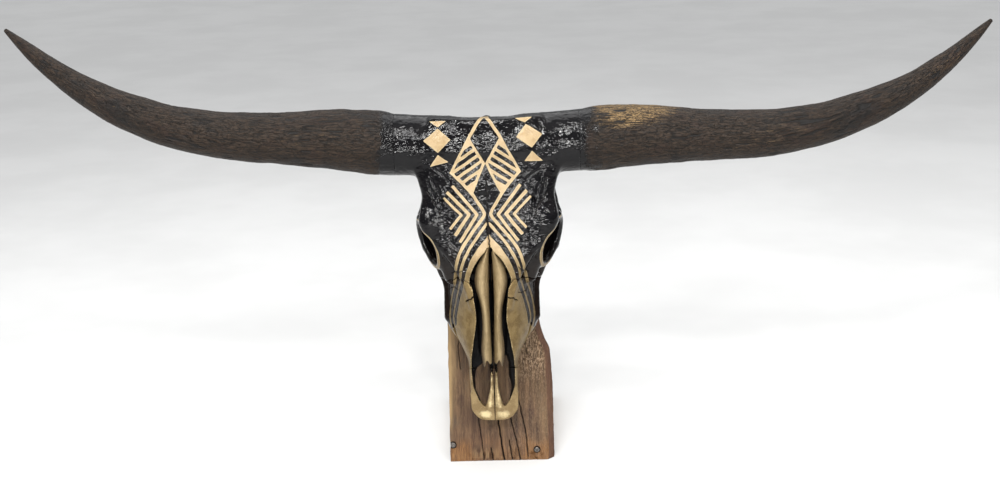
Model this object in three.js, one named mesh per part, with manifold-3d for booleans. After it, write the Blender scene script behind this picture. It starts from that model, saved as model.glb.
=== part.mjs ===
// Longhorn steer skull on its leaning plank. Millimetres, +Z up, the face towards -Y,
// the steer's own right side towards -X. The origin is under the middle of the whole
// piece, on the surface that it stands on.
import * as THREE from "three";
import { mergeVertices } from "three/addons/utils/BufferGeometryUtils.js";
import Module from "manifold-3d";

const wasm = await Module();
wasm.setup();

// ---------------------------------------------------------------- driving dimensions
const PLANK_LEAN = (17.5 * Math.PI) / 180; // the plank leans back by this angle
const FACE_TILT = (7.3 * Math.PI) / 180; // between the forehead's plane and the plank
const PLANK_THICK = 42;
const PLANK_LENGTH = 556;
const PLANK_LEFT = -80; // side edges of the plank, from the skull's midline
const PLANK_RIGHT = 101;
const POLL_UP = 575; // poll: distance up the plank from its foot
const POLL_OUT = 183.3; // poll: height off the plank's face
const FOOT_REACH = 236; // how far the foot board runs back
const FOOT_THICK = 38;
const HORN_CUT = 150; // where the horn sheaths begin, each side of the midline
const REACH_RIGHT = 602; // how far each horn reaches beyond that
const REACH_LEFT = 643;
const FACE_CUT = 274; // level of the cut between cranium and upper jaw
const NOSE_CUT = 424; // level of the cut between upper jaw and incisive bones
const KERF = 0.5;
const SHIFT = [-20.5, -108.9, 0]; // brings the middle of the whole box over the origin
const GRID = 3; // sampling step of the bone field
const BONE_TRIANGLES = 5600;

// ---------------------------------------------------------------- blending arithmetic
const relu = (a) => Math.max(a, 0);
const smin = (a, b, k) => {
  const h = Math.max(k - Math.abs(a - b), 0) / k;
  return Math.min(a, b) - (h * h * h * k) / 6;
};
const smax = (a, b, k) => -smin(-a, -b, k);
const sstep = (x, a, b) => {
  const t = Math.min(Math.max((x - a) / (b - a), 0), 1);
  return t * t * (3 - 2 * t);
};
const mix = (a, b, t) => a + (b - a) * t;
const bump = (x, c, s) => {
  const t = Math.min(Math.max(1 - ((x - c) / s) ** 2, 0), 1);
  return t * t;
};
// a smooth profile through a few stations, [place, value]
function stations(tab) {
  const dl = tab.slice(1).map((q, i) => (q[1] - tab[i][1]) / (q[0] - tab[i][0]));
  const slope = tab.map((_, i) => {
    if (i === 0) return dl[0];
    if (i === tab.length - 1) return dl[i - 1];
    return dl[i - 1] * dl[i] <= 0 ? 0 : (2 * dl[i - 1] * dl[i]) / (dl[i - 1] + dl[i]);
  });
  return tab.map((q, i) => [q[0], q[1], slope[i]]);
}
function prof(x, tab) {
  const n = tab.length;
  x = Math.min(Math.max(x, tab[0][0]), tab[n - 1][0]);
  let i = 0;
  while (i < n - 2 && x >= tab[i + 1][0]) i++;
  const [x0, y0, m0] = tab[i],
    [x1, y1, m1] = tab[i + 1];
  const h = x1 - x0,
    t = (x - x0) / h,
    r = 1 - t;
  return y0 * (1 + 2 * t) * r * r + h * m0 * t * r * r + y1 * t * t * (3 - 2 * t) + h * m1 * t * t * (t - 1);
}

// ---------------------------------------------------------------- the bone field
// A point of the skull is given by u, its distance from the midline, v, its distance
// down the face from the poll, and w, its height above the forehead's plane. The field
// is negative inside the bone.
let u = 0,
  v = 0,
  w = 0;
const ell = (c, r) => {
  const a = u - c[0],
    b = v - c[1],
    e = w - c[2];
  const k0 = Math.hypot(a / r[0], b / r[1], e / r[2]);
  const k1 = Math.hypot(a / r[0] ** 2, b / r[1] ** 2, e / r[2] ** 2);
  return (k0 * (k0 - 1)) / Math.max(k1, 1e-9);
};
// the axis n and two directions square to it
const along = (c, n) => {
  const l = Math.hypot(...n);
  const [x, y, z] = n.map((q) => q / l);
  let t = [-z * x, -z * y, 1 - z * z];
  const k = Math.hypot(...t);
  t = t.map((q) => q / k);
  const s = [y * t[2] - z * t[1], z * t[0] - x * t[2], x * t[1] - y * t[0]];
  const p = [u - c[0], v - c[1], w - c[2]];
  const dot = (q) => p[0] * q[0] + p[1] * q[1] + p[2] * q[2];
  return [dot([x, y, z]), dot(t), dot(s)];
};
const ell3 = (c, r, n) => {
  const [a, b, e] = along(c, n);
  const k0 = Math.hypot(a / r[0], b / r[2], e / r[1]);
  const k1 = Math.hypot(a / r[0] ** 2, b / r[2] ** 2, e / r[1] ** 2);
  return (k0 * (k0 - 1)) / Math.max(k1, 1e-9);
};
const ring = (c, n, r1, r2, t) => {
  const [a, b, e] = along(c, n);
  const q = Math.hypot(b / r1, e / r2);
  return Math.hypot((q - 1) * 0.5 * (r1 + r2), a) - t;
};
const cap = (a, b, ra, rb, s) => {
  const p0 = (u - a[0]) * s[0],
    p1 = (v - a[1]) * s[1],
    p2 = (w - a[2]) * s[2];
  const e0 = (b[0] - a[0]) * s[0],
    e1 = (b[1] - a[1]) * s[1],
    e2 = (b[2] - a[2]) * s[2];
  const l = e0 * e0 + e1 * e1 + e2 * e2;
  const t = Math.min(Math.max((p0 * e0 + p1 * e1 + p2 * e2) / l, 0), 1);
  return Math.hypot(p0 - t * e0, p1 - t * e1, p2 - t * e2) - (ra + (rb - ra) * t);
};
const rbox = (c, h, r) => {
  const a = Math.abs(u - c[0]) - h[0],
    b = Math.abs(v - c[1]) - h[1],
    e = Math.abs(w - c[2]) - h[2];
  return Math.hypot(relu(a), relu(b), relu(e)) + Math.min(Math.max(a, b, e), 0) - r;
};
// a row of grinding teeth: [level, half length, half width, distance out]
const teeth = (rows) => {
  let d = 1e9;
  for (const [v0, hv, hu, u0] of rows) {
    const a = Math.abs(u - u0) - hu + 3.5,
      b = Math.abs(v - v0) - hv + 3.5;
    const q = Math.hypot(relu(a), relu(b)) + Math.min(Math.max(a, b), 0) - 3.5;
    d = Math.min(d, smax(q, 1.6 - Math.hypot(u - u0 - hu - 0.2, v - v0), 1));
  }
  return d;
};

// half width of the forehead plate, down the face
const HF_STATIONS = stations([[-20,84],[15,96],[50,112],[84,119],[105,113.5],[131,108],[152,111.5],[170,114.5],[186,109],[206,92],[232,70],[262,52],[300,38],[340,31]]);
// half width of the face
const HM_STATIONS = stations([[215,76],[250,76],[285,73],[318,73],[345,77],[360,72],[374,62.5],[388,53],[400,46.5],[411,43.4],[430,42.3],[470,41]]);
// width of the face as a share, by depth
const HQ_STATIONS = stations([[0,0.24],[10,0.40],[20,0.57],[34,0.70],[55,0.84],[78,0.97],[92,1.0],[108,0.93],[126,0.80]]);
// the same towards the nose
const HQ2_STATIONS = stations([[0,0.60],[14,0.80],[30,0.93],[60,1.0],[95,1.0],[126,0.94]]);
// level of the palate
const BOT_STATIONS = stations([[225,-112],[260,-118],[340,-116],[392,-110],[420,-101],[460,-95]]);
// grinding teeth: level, half length, half width, distance out
const TTH_STATIONS = [[381,8.0,7.5,49],[363.5,8.6,8.5,51],[344.5,9.4,9.5,53.5],[322,11.6,10.5,56.5],[297,12.4,11,58.5],[271,12.4,10.5,59.5]];
// half width of the nose opening
const HA_STATIONS = stations([[213,0.5],[219,5],[226,12],[235,19.5],[246,26],[257,30.5],[267,33],[274,32],[280,29],[290,27.4],[301,26.4],[315,24.6],[330,24],[344,25.2],[359,27.8],[381,31.3],[403,34.3],[432,34.8],[446,34.4],[456,33.6],[466,31],[475,27.7],[485,23],[490,19.5],[494,15],[497,8],[499,3]]);
// half width of the incisive bones
const PM_STATIONS = stations([[455,41],[470,40.8],[496,39.7],[508,33],[515,25],[519,13]]);
const D_STATIONS = stations([[246,52],[340,46],[392,37],[436,33]]);
const PPW_STATIONS = stations([[400,7.5],[430,6.2],[446,6.2],[460,7],[475,9.8],[489,14.5],[496,18.5]]);
const NO_STATIONS = stations([[213,4],[219,8],[226,12],[235,17.3],[246,22.5],[257,25.2],[268,26.6],[280,25.5],[292,22.5],[304,19.6],[316,17.6],[328,16.4],[342,16.2],[356,16.8],[370,18.2],[384,19],[400,18],[412,16]]);
const NI_STATIONS = stations([[213,1.2],[222,3.4],[240,4.2],[300,4],[327,3.3],[355,2.8],[382,2],[412,1.6]]);
function field() {
  // braincase and the frontal plate
  let d = ell([0,92,-74],[76,84,54]);
  let topw = 0 - 0.0010*u*u + 3*bump(v,18,26)*bump(u,0,70) - 4*bump(v,150,50)*bump(u,0,45) + 5*bump(v,172,30)*bump(u,98,26) - 0.075*relu(v-232);
  let hF = prof(v, HF_STATIONS);
  let plate = smax(smax(w-topw, (u-hF)*0.93, 16), smax(topw-46+0.20*u-w, smax(6-0.0006*u*u-v, v-318, 10), 18), 14);
  d = smin(d, plate, 16);
  d = smin(d, ell([0,205,-66],[46,74,52]), 22);
  // occiput, poll ridge and horn pedicles
  d = smin(d, rbox([0,45,-64],[58,8,42],24), 16);
  d = smin(d, cap([0,29,-27],[80,43,-42],23,37,[1,1,1]), 14);
  d = smin(d, cap([66,52,-47],[178,44,-50],42.5,43,[0.85,0.85,1]), 16);
  d = smin(d, cap([80,56,-58],[86,66,-112],13,10,[1,1,1]), 14);
  d = smax(d, 0-ell([40,-14,-78],[30,26,28]), 12);
  d = smin(d, cap([0,11,-44],[0,22,-84],9,6,[1,1,1]), 10);
  // temporal fossa
  d = smax(d, 0-ell([112,116,-72],[46,52,30]), 12);
  d = smax(d, 0-ell([110,150,-86],[42,40,34]), 12);
  // skull base
  d = smin(d, cap([0,50,-118],[0,185,-100],19,13,[1,1,1]), 14);
  d = smin(d, ell([13,106,-132],[10,14,9]), 8);
  d = smin(d, smax(ell([27,38,-122],[19,24,27]), 0-ell([6,16,-150],[16,14,18]), 6), 8);
  d = smin(d, cap([60,48,-104],[58,60,-169.5],17,6,[1,1,0.8]), 10);
  d = smin(d, ell([48,96,-124],[13,20,20]), 8);
  d = smin(d, cap([70,92,-100],[90,84,-98],10,7,[1,1,1]), 8);
  d = smax(d, 0-cap([84,86,-98],[96,82,-97],3.6,4.2,[1,1,1]), 2);
  d = smin(d, cap([30,150,-96],[34,215,-98],22,22,[1,1,1]), 12);
  // face
  let dep = relu(0-w);
  let hM = prof(v, HM_STATIONS);
  let hq = prof(dep-0.06*relu(v-232), HQ_STATIONS);
  let hq2 = mix(hq, 0-0.03+prof(dep-0.06*relu(v-232), HQ2_STATIONS), sstep(v,350,405));
  let bot = prof(v, BOT_STATIONS);
  let topf = 0-5-0.075*relu(v-232)-46*sstep(v,352,470)*sstep(v,352,470)-18*sstep(v,430,500);
  let face = smax(smax((u-hM*hq2)*0.86, smax(w-topf, bot-w, 6), 8), smax(226-v, v-476, 8), 10);
  d = smin(d, face, 20);
  // facial crest, malar and arch
  d = smin(d, cap([99,214,-100],[74,285,-96],12,6,[1,1,1]), 10);
  d = smin(d, cap([74,285,-96],[72.5,338,-89],6,8.5,[1,1,1]), 8);
  d = smin(d, cap([64,100,-100],[98,112,-102],15,9,[1,1,1]), 12);
  d = smin(d, cap([98,112,-102],[110,166,-96],9,9,[1,1,0.8]), 8);
  d = smin(d, cap([110,166,-96],[103,220,-103],9,13,[1,1,0.8]), 8);
  // orbit
  d = smin(d, cap([78,226,-34],[64,266,-48],12,12,[1,1,1]), 12);
  let oc = ell3([88,206,-55],[44,41,38],[0.90,0.30,0.33]);
  d = smax(d, 0-oc, 7);
  d = smax(d, 0-cap([99,208,-54],[150,225,-34],36,46,[1,1,1]), 5);
  d = smin(d, ring([98,208,-54],[0.90,0.30,0.33],40,42,6.2), 8);
  d = smin(d, cap([111.5,166,-40],[112,170,-92],7,7.5,[1,1,1]), 8);
  d = smin(d, ell([56,246,-92],[16,22,16]), 8);
  // cheek teeth in their sockets
  d = smin(d, cap([44,386,-106],[58,256,-112],9,15,[1,1,1]), 8);
  let occ = 0-184.2+0.1276*v;
  let tth = teeth(TTH_STATIONS);
  d = smin(d, smax(tth, smax(occ-w, w+104, 2), 2.5), 2.5);
  // nasal cavity and the opening in front
  let hA = prof(v, HA_STATIONS);
  let cav = smax(smax(u-hA-4*sstep(w,-30,-50)*sstep(440-v,0,60), w-40, 2), smax(-97-w-12*sstep(v,428,440), smax(213+0.55*relu(0-20-w)-v, v-498, 3), 3), 3);
  d = smax(d, 0-cav, 3);
  // premaxilla
  let pm = smax(smax(u-prof(v,PM_STATIONS), smax(w+82+0.12*relu(v-480), -98-w, 3), 4), smax(468-v, v-518, 4), 4);
  pm = smax(pm, 0-(smax(u-hA, v-494, 3)), 3);
  d = smin(d, pm, 4);
  d = smin(d, smax(smin(cap([6,498,-89],[4.4,427,-92.5],6.6,2.6,[1,1,1]), cap([8.5,495,-88.5],[5.4,466,-91],8,4.6,[1,1,1]), 5), 0.6-u, 1), 4);
  // palate, vomer and turbinates
  d = smin(d, smax(smax(u-prof(v,D_STATIONS), smax(w+97, -105-w, 3), 3), smax(246-v, v-431+23*sstep(u,6,12), 3), 4), 5);
  d = smax(d, 0-ell([0,330,-124],[38,130,17]), 8);
  let ppw = prof(v, PPW_STATIONS);
  d = smax(d, 0-smax(smax(u-hA+0.6, ppw-u, 2), smax(smax(405-v, v-494, 3), w+60, 3), 3), 2);
  // choanae and pterygoids
  d = smax(d, 0-cap([0,262,-108],[0,182,-126],19,19,[1,1,1]), 6);
  d = smin(d, rbox([25,206,-122],[1.5,20,18],2.5), 6);
  d = smin(d, cap([24,196,-136],[23,190,-148],4,3,[1,1,1]), 4);
  // spinal canal
  d = smax(d, 0-cap([0,-10,-106],[0,62,-104],17,14,[1,1,1]), 4);
  d = smax(d, 0-cap([0,8,-140],[0,34,-134],7,6,[1,1,1]), 5);
  // foramina
  d = smax(d, 0-cap([52,392,-72],[62,350,-66],4.5,4.0,[1,1,1]), 3);
  d = smax(d, 0-cap([74,120,6],[72,138,-9],1.7,1.7,[1,1,1]), 3);
  d = smax(d, 0-cap([72,140,0],[70,190,-1],2.0,1.2,[1,1,1]), 4);
  // nasal bones: each a thin arch beside the midline cleft
  let no = prof(v, NO_STATIONS);
  let ni = prof(v, NI_STATIONS);
  let nc = (no+ni)*0.5;
  let nh = (no-ni)*0.5;
  let nw = 0-6.5-0.060*relu(v-250)-0.00022*relu(v-300)*relu(v-300);
  let nq = (u-nc)/nh;
  let nas = smax(smax(w-(nw+6-8.5*nq*nq), (nw-0.5-10.5*nq*nq)-w, 1.5), smax(smax(nq-1,0-1-nq,0.1)*nh, smax(215-v, v-(409-9*bump(nq,0.05,0.62)+3.5*nq), 2), 2), 2);
  // the nasal bones' seats
  d = smax(d, 1.7-nas, 1);
  return { d, nas };
}

// ---------------------------------------------------------------- field to mesh
// Samples the field on a grid (one side, mirrored), walks it in tetrahedra, and gives
// a closed triangle mesh.
function meshField(f, lo, hi, step, mirror) {
  const n = [0, 1, 2].map((k) => Math.round((hi[k] - lo[k]) / step) + 1);
  const [nx, ny, nz] = n;
  const val = new Float32Array(nx * ny * nz);
  const at = (i, j, k) => (k * ny + j) * nx + i;
  const seen = new Map();
  const B = 4, // blocks far from the surface take one sample
    far = step * B * 1.15;
  for (let K = 0; K < nz; K += B)
    for (let J = 0; J < ny; J += B)
      for (let I = 0; I < nx; I += B) {
        const mid = [I, J, K].map((q, c) => lo[c] + (q + (B - 1) / 2) * step);
        const side = mid[0] > (B / 2) * step;
        const s = mirror && side ? 0 : f(...mid);
        const skip = Math.abs(s) > far;
        for (let k = K; k < Math.min(K + B, nz); k++)
          for (let j = J; j < Math.min(J + B, ny); j++)
            for (let i = I; i < Math.min(I + B, nx); i++) {
              const x = lo[0] + i * step;
              let q = s;
              if (mirror && x > 1e-6 && side) q = val[at(nx - 1 - i, j, k)];
              else if (!skip) q = f(x, lo[1] + j * step, lo[2] + k * step);
              val[at(i, j, k)] = Math.abs(q) < 1e-4 ? 1e-4 : q;
            }
      }
  const pos = [],
    tri = [];
  const cut = (a, b) => {
    const key = a < b ? a * 16777216 + b : b * 16777216 + a;
    let id = seen.get(key);
    if (id === undefined) {
      const p = (q) => [q % nx, Math.floor(q / nx) % ny, Math.floor(q / (nx * ny))];
      const pa = p(a),
        pb = p(b);
      const t = Math.min(Math.max(val[a] / (val[a] - val[b]), 0.04), 0.96);
      id = pos.length / 3;
      for (let c = 0; c < 3; c++) pos.push(lo[c] + step * (pa[c] + t * (pb[c] - pa[c])));
      seen.set(key, id);
    }
    return id;
  };
  const orders = [
    [0, 1, 2],
    [1, 2, 0],
    [2, 0, 1],
    [0, 2, 1],
    [2, 1, 0],
    [1, 0, 2],
  ];
  const unit = [1, nx, nx * ny];
  for (let k = 0; k < nz - 1; k++)
    for (let j = 0; j < ny - 1; j++)
      for (let i = 0; i < nx - 1; i++) {
        const o = at(i, j, k);
        let inside = 0;
        for (let c = 0; c < 8; c++)
          if (val[o + (c & 1 ? 1 : 0) + (c & 2 ? nx : 0) + (c & 4 ? nx * ny : 0)] < 0) inside++;
        if (inside === 0 || inside === 8) continue;
        orders.forEach((ord, w6) => {
          const q = [o, o + unit[ord[0]], o + unit[ord[0]] + unit[ord[1]], o + unit[0] + unit[1] + unit[2]];
          if (w6 > 2) [q[1], q[2]] = [q[2], q[1]]; // keeps every tetrahedron right-handed
          const inn = q.filter((c) => val[c] < 0);
          if (inn.length === 0 || inn.length === 4) return;
          const idx = q.map((c) => (val[c] < 0 ? 1 : 0));
          const even = (a, b, c, d) => {
            // parity of the permutation that puts a, b, c, d first to last
            const r = [a, b, c, d].map((s) => q.indexOf(s));
            let sw = 0;
            for (let m = 0; m < 4; m++) for (let l = m + 1; l < 4; l++) if (r[m] > r[l]) sw++;
            return sw % 2 === 0;
          };
          const put = (a, b, c, ok) => (ok ? tri.push(a, b, c) : tri.push(a, c, b));
          const out = q.filter((c) => val[c] >= 0);
          if (inn.length === 1) {
            const [a] = inn,
              [b, c, d] = out;
            put(cut(a, b), cut(a, c), cut(a, d), even(a, b, c, d));
          } else if (inn.length === 3) {
            const [a] = out,
              [b, c, d] = inn;
            put(cut(a, b), cut(a, c), cut(a, d), !even(a, b, c, d));
          } else {
            const [a, b] = inn,
              [c, d] = out;
            const e = even(a, b, c, d);
            const p = cut(a, c),
              r = cut(a, d),
              s = cut(b, d),
              t = cut(b, c);
            put(p, r, s, e);
            put(p, s, t, e);
          }
        });
      }
  return { pos, tri };
}

// Thins a closed mesh to about the wanted number of triangles, edge by edge, the edge
// that changes the surface least first, keeping it one closed surface.
function thin({ pos, tri }, want) {
  const nv = pos.length / 3,
    nt = tri.length / 3;
  const P = Float64Array.from(pos),
    T = Int32Array.from(tri),
    Q = new Float64Array(nv * 10);
  const alive = new Uint8Array(nt).fill(1),
    live = new Uint8Array(nv).fill(1),
    stamp = new Int32Array(nv);
  const fan = Array.from({ length: nv }, () => []);
  const normal = (a, b, c) => {
    const ux = P[b * 3] - P[a * 3],
      uy = P[b * 3 + 1] - P[a * 3 + 1],
      uz = P[b * 3 + 2] - P[a * 3 + 2];
    const vx = P[c * 3] - P[a * 3],
      vy = P[c * 3 + 1] - P[a * 3 + 1],
      vz = P[c * 3 + 2] - P[a * 3 + 2];
    return [uy * vz - uz * vy, uz * vx - ux * vz, ux * vy - uy * vx];
  };
  for (let t = 0; t < nt; t++) {
    const [a, b, c] = [T[t * 3], T[t * 3 + 1], T[t * 3 + 2]];
    const n = normal(a, b, c),
      l = Math.hypot(...n) || 1e-12;
    const [x, y, z] = n.map((q) => q / l),
      d = -(x * P[a * 3] + y * P[a * 3 + 1] + z * P[a * 3 + 2]),
      k = l / 2;
    const q = [x * x, x * y, x * z, x * d, y * y, y * z, y * d, z * z, z * d, d * d];
    for (const s of [a, b, c]) {
      fan[s].push(t);
      for (let m = 0; m < 10; m++) Q[s * 10 + m] += q[m] * k;
    }
  }
  const heap = [];
  const swap = (i, j) => ([heap[i], heap[j]] = [heap[j], heap[i]]);
  const push = (e) => {
    heap.push(e);
    let i = heap.length - 1;
    while (i > 0) {
      const p = (i - 1) >> 1;
      if (heap[p].c <= heap[i].c) break;
      swap(i, p);
      i = p;
    }
  };
  const pop = () => {
    const top = heap[0],
      last = heap.pop();
    if (heap.length) {
      heap[0] = last;
      let i = 0;
      for (;;) {
        let m = i;
        const l = 2 * i + 1,
          r = l + 1;
        if (l < heap.length && heap[l].c < heap[m].c) m = l;
        if (r < heap.length && heap[r].c < heap[m].c) m = r;
        if (m === i) break;
        swap(i, m);
        i = m;
      }
    }
    return top;
  };
  const cost = (q, x, y, z) =>
    q[0] * x * x + 2 * q[1] * x * y + 2 * q[2] * x * z + 2 * q[3] * x + q[4] * y * y + 2 * q[5] * y * z + 2 * q[6] * y + q[7] * z * z + 2 * q[8] * z + q[9];
  const offer = (a, b) => {
    const q = [];
    for (let m = 0; m < 10; m++) q.push(Q[a * 10 + m] + Q[b * 10 + m]);
    const mid = [0, 1, 2].map((k) => (P[a * 3 + k] + P[b * 3 + k]) / 2);
    const len = Math.hypot(P[a * 3] - P[b * 3], P[a * 3 + 1] - P[b * 3 + 1], P[a * 3 + 2] - P[b * 3 + 2]);
    // least-squares point, held near the edge's middle where the surface is flat
    const r = 0.002 * (q[0] + q[4] + q[7]) + 1e-9;
    const A = [q[0] + r, q[1], q[2], q[4] + r, q[5], q[7] + r];
    const B = [-q[3] + r * mid[0], -q[6] + r * mid[1], -q[8] + r * mid[2]];
    const det = A[0] * (A[3] * A[5] - A[4] * A[4]) - A[1] * (A[1] * A[5] - A[4] * A[2]) + A[2] * (A[1] * A[4] - A[3] * A[2]);
    let p = mid;
    if (Math.abs(det) > 1e-12) {
      const x = (B[0] * (A[3] * A[5] - A[4] * A[4]) - A[1] * (B[1] * A[5] - A[4] * B[2]) + A[2] * (B[1] * A[4] - A[3] * B[2])) / det;
      const y = (A[0] * (B[1] * A[5] - A[4] * B[2]) - B[0] * (A[1] * A[5] - A[4] * A[2]) + A[2] * (A[1] * B[2] - B[1] * A[2])) / det;
      const z = (A[0] * (A[3] * B[2] - A[4] * B[1]) - A[1] * (A[1] * B[2] - B[1] * A[2]) + B[0] * (A[1] * A[4] - A[3] * A[2])) / det;
      if (Math.hypot(x - mid[0], y - mid[1], z - mid[2]) < len * 1.2) p = [x, y, z];
    }
    push({ c: Math.max(cost(q, ...p), 0) + 1e-4 * len * len, a, b, p, s: stamp[a] + stamp[b] * 1048576 });
  };
  const near = (a) => {
    const s = new Set();
    for (const t of fan[a]) for (let m = 0; m < 3; m++) if (T[t * 3 + m] !== a) s.add(T[t * 3 + m]);
    return s;
  };
  for (let a = 0; a < nv; a++) for (const b of near(a)) if (b > a) offer(a, b);
  let count = nt;
  while (count > want && heap.length) {
    const e = pop(),
      { a, b, p } = e;
    if (!live[a] || !live[b] || e.s !== stamp[a] + stamp[b] * 1048576) continue;
    const na = near(a),
      nb = near(b);
    let common = 0;
    for (const x of na) if (nb.has(x)) common++;
    if (common !== 2 || na.size + nb.size - 4 < 3) continue;
    let ok = true;
    for (const [s, o] of [
      [a, b],
      [b, a],
    ]) {
      for (const t of fan[s]) {
        const c = [T[t * 3], T[t * 3 + 1], T[t * 3 + 2]];
        if (c.includes(o)) continue;
        const before = normal(...c);
        const keep = [P[s * 3], P[s * 3 + 1], P[s * 3 + 2]];
        P.set(p, s * 3);
        const after = normal(...c);
        P.set(keep, s * 3);
        const la = Math.hypot(...after),
          lb = Math.hypot(...before);
        if (before[0] * after[0] + before[1] * after[1] + before[2] * after[2] < 0.25 * la * lb || la < 0.02) {
          ok = false;
          break;
        }
      }
      if (!ok) break;
    }
    if (!ok) continue;
    P.set(p, a * 3);
    for (let m = 0; m < 10; m++) Q[a * 10 + m] += Q[b * 10 + m];
    for (const t of fan[b]) {
      let both = false;
      for (let m = 0; m < 3; m++) if (T[t * 3 + m] === a) both = true;
      if (both) {
        alive[t] = 0;
        count--;
      } else {
        for (let m = 0; m < 3; m++) if (T[t * 3 + m] === b) T[t * 3 + m] = a;
        fan[a].push(t);
      }
    }
    fan[a] = fan[a].filter((t) => alive[t]);
    for (const x of na) fan[x] = fan[x].filter((t) => alive[t]);
    for (const x of nb) fan[x] = fan[x].filter((t) => alive[t]);
    live[b] = 0;
    fan[b] = [];
    stamp[a]++;
    for (const x of near(a)) offer(a, x);
  }
  const id = new Map(),
    vp = [],
    vt = [];
  for (let t = 0; t < nt; t++) {
    if (!alive[t]) continue;
    for (let m = 0; m < 3; m++) {
      const s = T[t * 3 + m];
      if (!id.has(s)) {
        id.set(s, vp.length / 3);
        vp.push(P[s * 3], P[s * 3 + 1], P[s * 3 + 2]);
      }
      vt.push(id.get(s));
    }
  }
  return { pos: vp, tri: vt };
}

// ---------------------------------------------------------------- solids
const solid = ({ pos, tri }) =>
  new wasm.Manifold(new wasm.Mesh({ numProp: 3, vertProperties: Float32Array.from(pos), triVerts: Uint32Array.from(tri) }));
// a closed three.js geometry as a solid, after an optional matrix
function solidOf(geometry, matrix) {
  let g = geometry.clone();
  g.deleteAttribute("normal");
  g.deleteAttribute("uv");
  if (matrix) g.applyMatrix4(matrix);
  g = mergeVertices(g, 1e-3);
  return solid({ pos: g.attributes.position.array, tri: g.index.array });
}
const largest = (s) => s.decompose().sort((a, b) => b.volume() - a.volume())[0];
function geometryOf(s) {
  const m = s.getMesh();
  const g = new THREE.BufferGeometry();
  g.setAttribute("position", new THREE.BufferAttribute(Float32Array.from(m.vertProperties), 3));
  g.setIndex(new THREE.BufferAttribute(Uint32Array.from(m.triVerts), 1));
  g.computeVertexNormals();
  return g;
}
const move = (x, y, z) => new THREE.Matrix4().makeTranslation(x, y, z);
const slab = (x0, x1, y0, y1, z0, z1) =>
  solidOf(new THREE.BoxGeometry(x1 - x0, y1 - y0, z1 - z0), move((x0 + x1) / 2, (y0 + y1) / 2, (z0 + z1) / 2));
// a closed lathe piece about +Z, its profile starting and ending on the axis
const turned = (profile, sides) => {
  const up = profile[0][1] < profile[profile.length - 1][1] ? profile : [...profile].reverse();
  return new THREE.LatheGeometry(up.map(([r, z]) => new THREE.Vector2(r, z)), sides).rotateX(Math.PI / 2);
};

// ---------------------------------------------------------------- materials
const blackPaint = new THREE.MeshStandardMaterial({ color: 0x15120f, roughness: 0.3, metalness: 0 });
const goldPaint = new THREE.MeshStandardMaterial({ color: 0xb8955a, roughness: 0.5, metalness: 0 });
const hornStuff = new THREE.MeshStandardMaterial({ color: 0x4a3626, roughness: 0.45, metalness: 0 });
const oldWood = new THREE.MeshStandardMaterial({ color: 0x8a6446, roughness: 0.75, metalness: 0 });
const plainWood = new THREE.MeshStandardMaterial({ color: 0x9a7350, roughness: 0.7, metalness: 0 });
const zinc = new THREE.MeshStandardMaterial({ color: 0x8d8a84, roughness: 0.4, metalness: 0.9 });
const make = (name, s, material) => {
  const m = new THREE.Mesh(geometryOf(s), material);
  m.name = name;
  return m;
};

// ---------------------------------------------------------------- frames
// The plank's frame: x across, y back through it, z up along its face. The skull's
// frame: x across, y into the skull, z up the forehead from the poll.
const whole = new THREE.Group();
whole.position.set(...SHIFT);
const plankFrame = new THREE.Group();
plankFrame.rotation.x = -PLANK_LEAN;
const skullFrame = new THREE.Group();
skullFrame.rotation.x = -(PLANK_LEAN - FACE_TILT);
skullFrame.position.set(
  0,
  POLL_UP * Math.sin(PLANK_LEAN) - POLL_OUT * Math.cos(PLANK_LEAN),
  POLL_UP * Math.cos(PLANK_LEAN) + POLL_OUT * Math.sin(PLANK_LEAN),
);
whole.add(plankFrame, skullFrame);
whole.updateMatrixWorld(true);
const skullFromPlank = skullFrame.matrixWorld.clone().invert().multiply(plankFrame.matrixWorld);

// ---------------------------------------------------------------- fixings
// two wood screws driven level through the plank's foot into the foot board, and one
// long bolt square through the plank into the base of the skull
const SCREWS = [
  ["screw_left", -74, 28],
  ["screw_right", 69.5, 17],
];
const BOLT_UP = 468;
const screwProfile = [
  [0, 0],
  [4.4, 0],
  [4.4, -0.9],
  [2.2, -4],
  [2.2, -66],
  [0, -72],
];
const boltProfile = [
  [0, 0],
  [4, 0],
  [4, -8 - PLANK_THICK - 76],
  [0, -8 - PLANK_THICK - 79],
];
// a turned piece points along +Z; this lays it along +Y, out of the plank's back
const outOfPlank = (x, up, y) => move(x, y, up).multiply(new THREE.Matrix4().makeRotationX(-Math.PI / 2));
const level = (x, up) =>
  move(x, up * Math.sin(PLANK_LEAN) - 0.2, up * Math.cos(PLANK_LEAN)).multiply(new THREE.Matrix4().makeRotationX(Math.PI / 2));
const screws = SCREWS.map(([name, x, up]) => [
  name,
  solidOf(turned(screwProfile, 14), level(x, up)),
  solidOf(turned(screwProfile.map(([r, z], i) => [r ? r + 0.35 : 0, i < 2 ? z + 6 : i === 5 ? z - 0.8 : z]), 14), level(x, up)),
]);
const washer = solidOf(
  turned(
    [
      [0, 0],
      [9, 0],
      [9, 1.6],
      [0, 1.6],
    ],
    18,
  ),
  move(0, 0, 0),
);
const hexHead = solidOf(new THREE.CylinderGeometry(7.4, 7.4, 5.4, 6).rotateX(Math.PI / 2), move(0, 0, 4.3));
const shank = solidOf(turned(boltProfile, 14), move(0, 0, 6.5));
const bolt = washer.add(hexHead).add(shank);
const place = (s, m) => s.transform(m.elements);
const boltPlace = new THREE.Matrix4().copy(outOfPlank(0, BOLT_UP, PLANK_THICK + 0.3));
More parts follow.
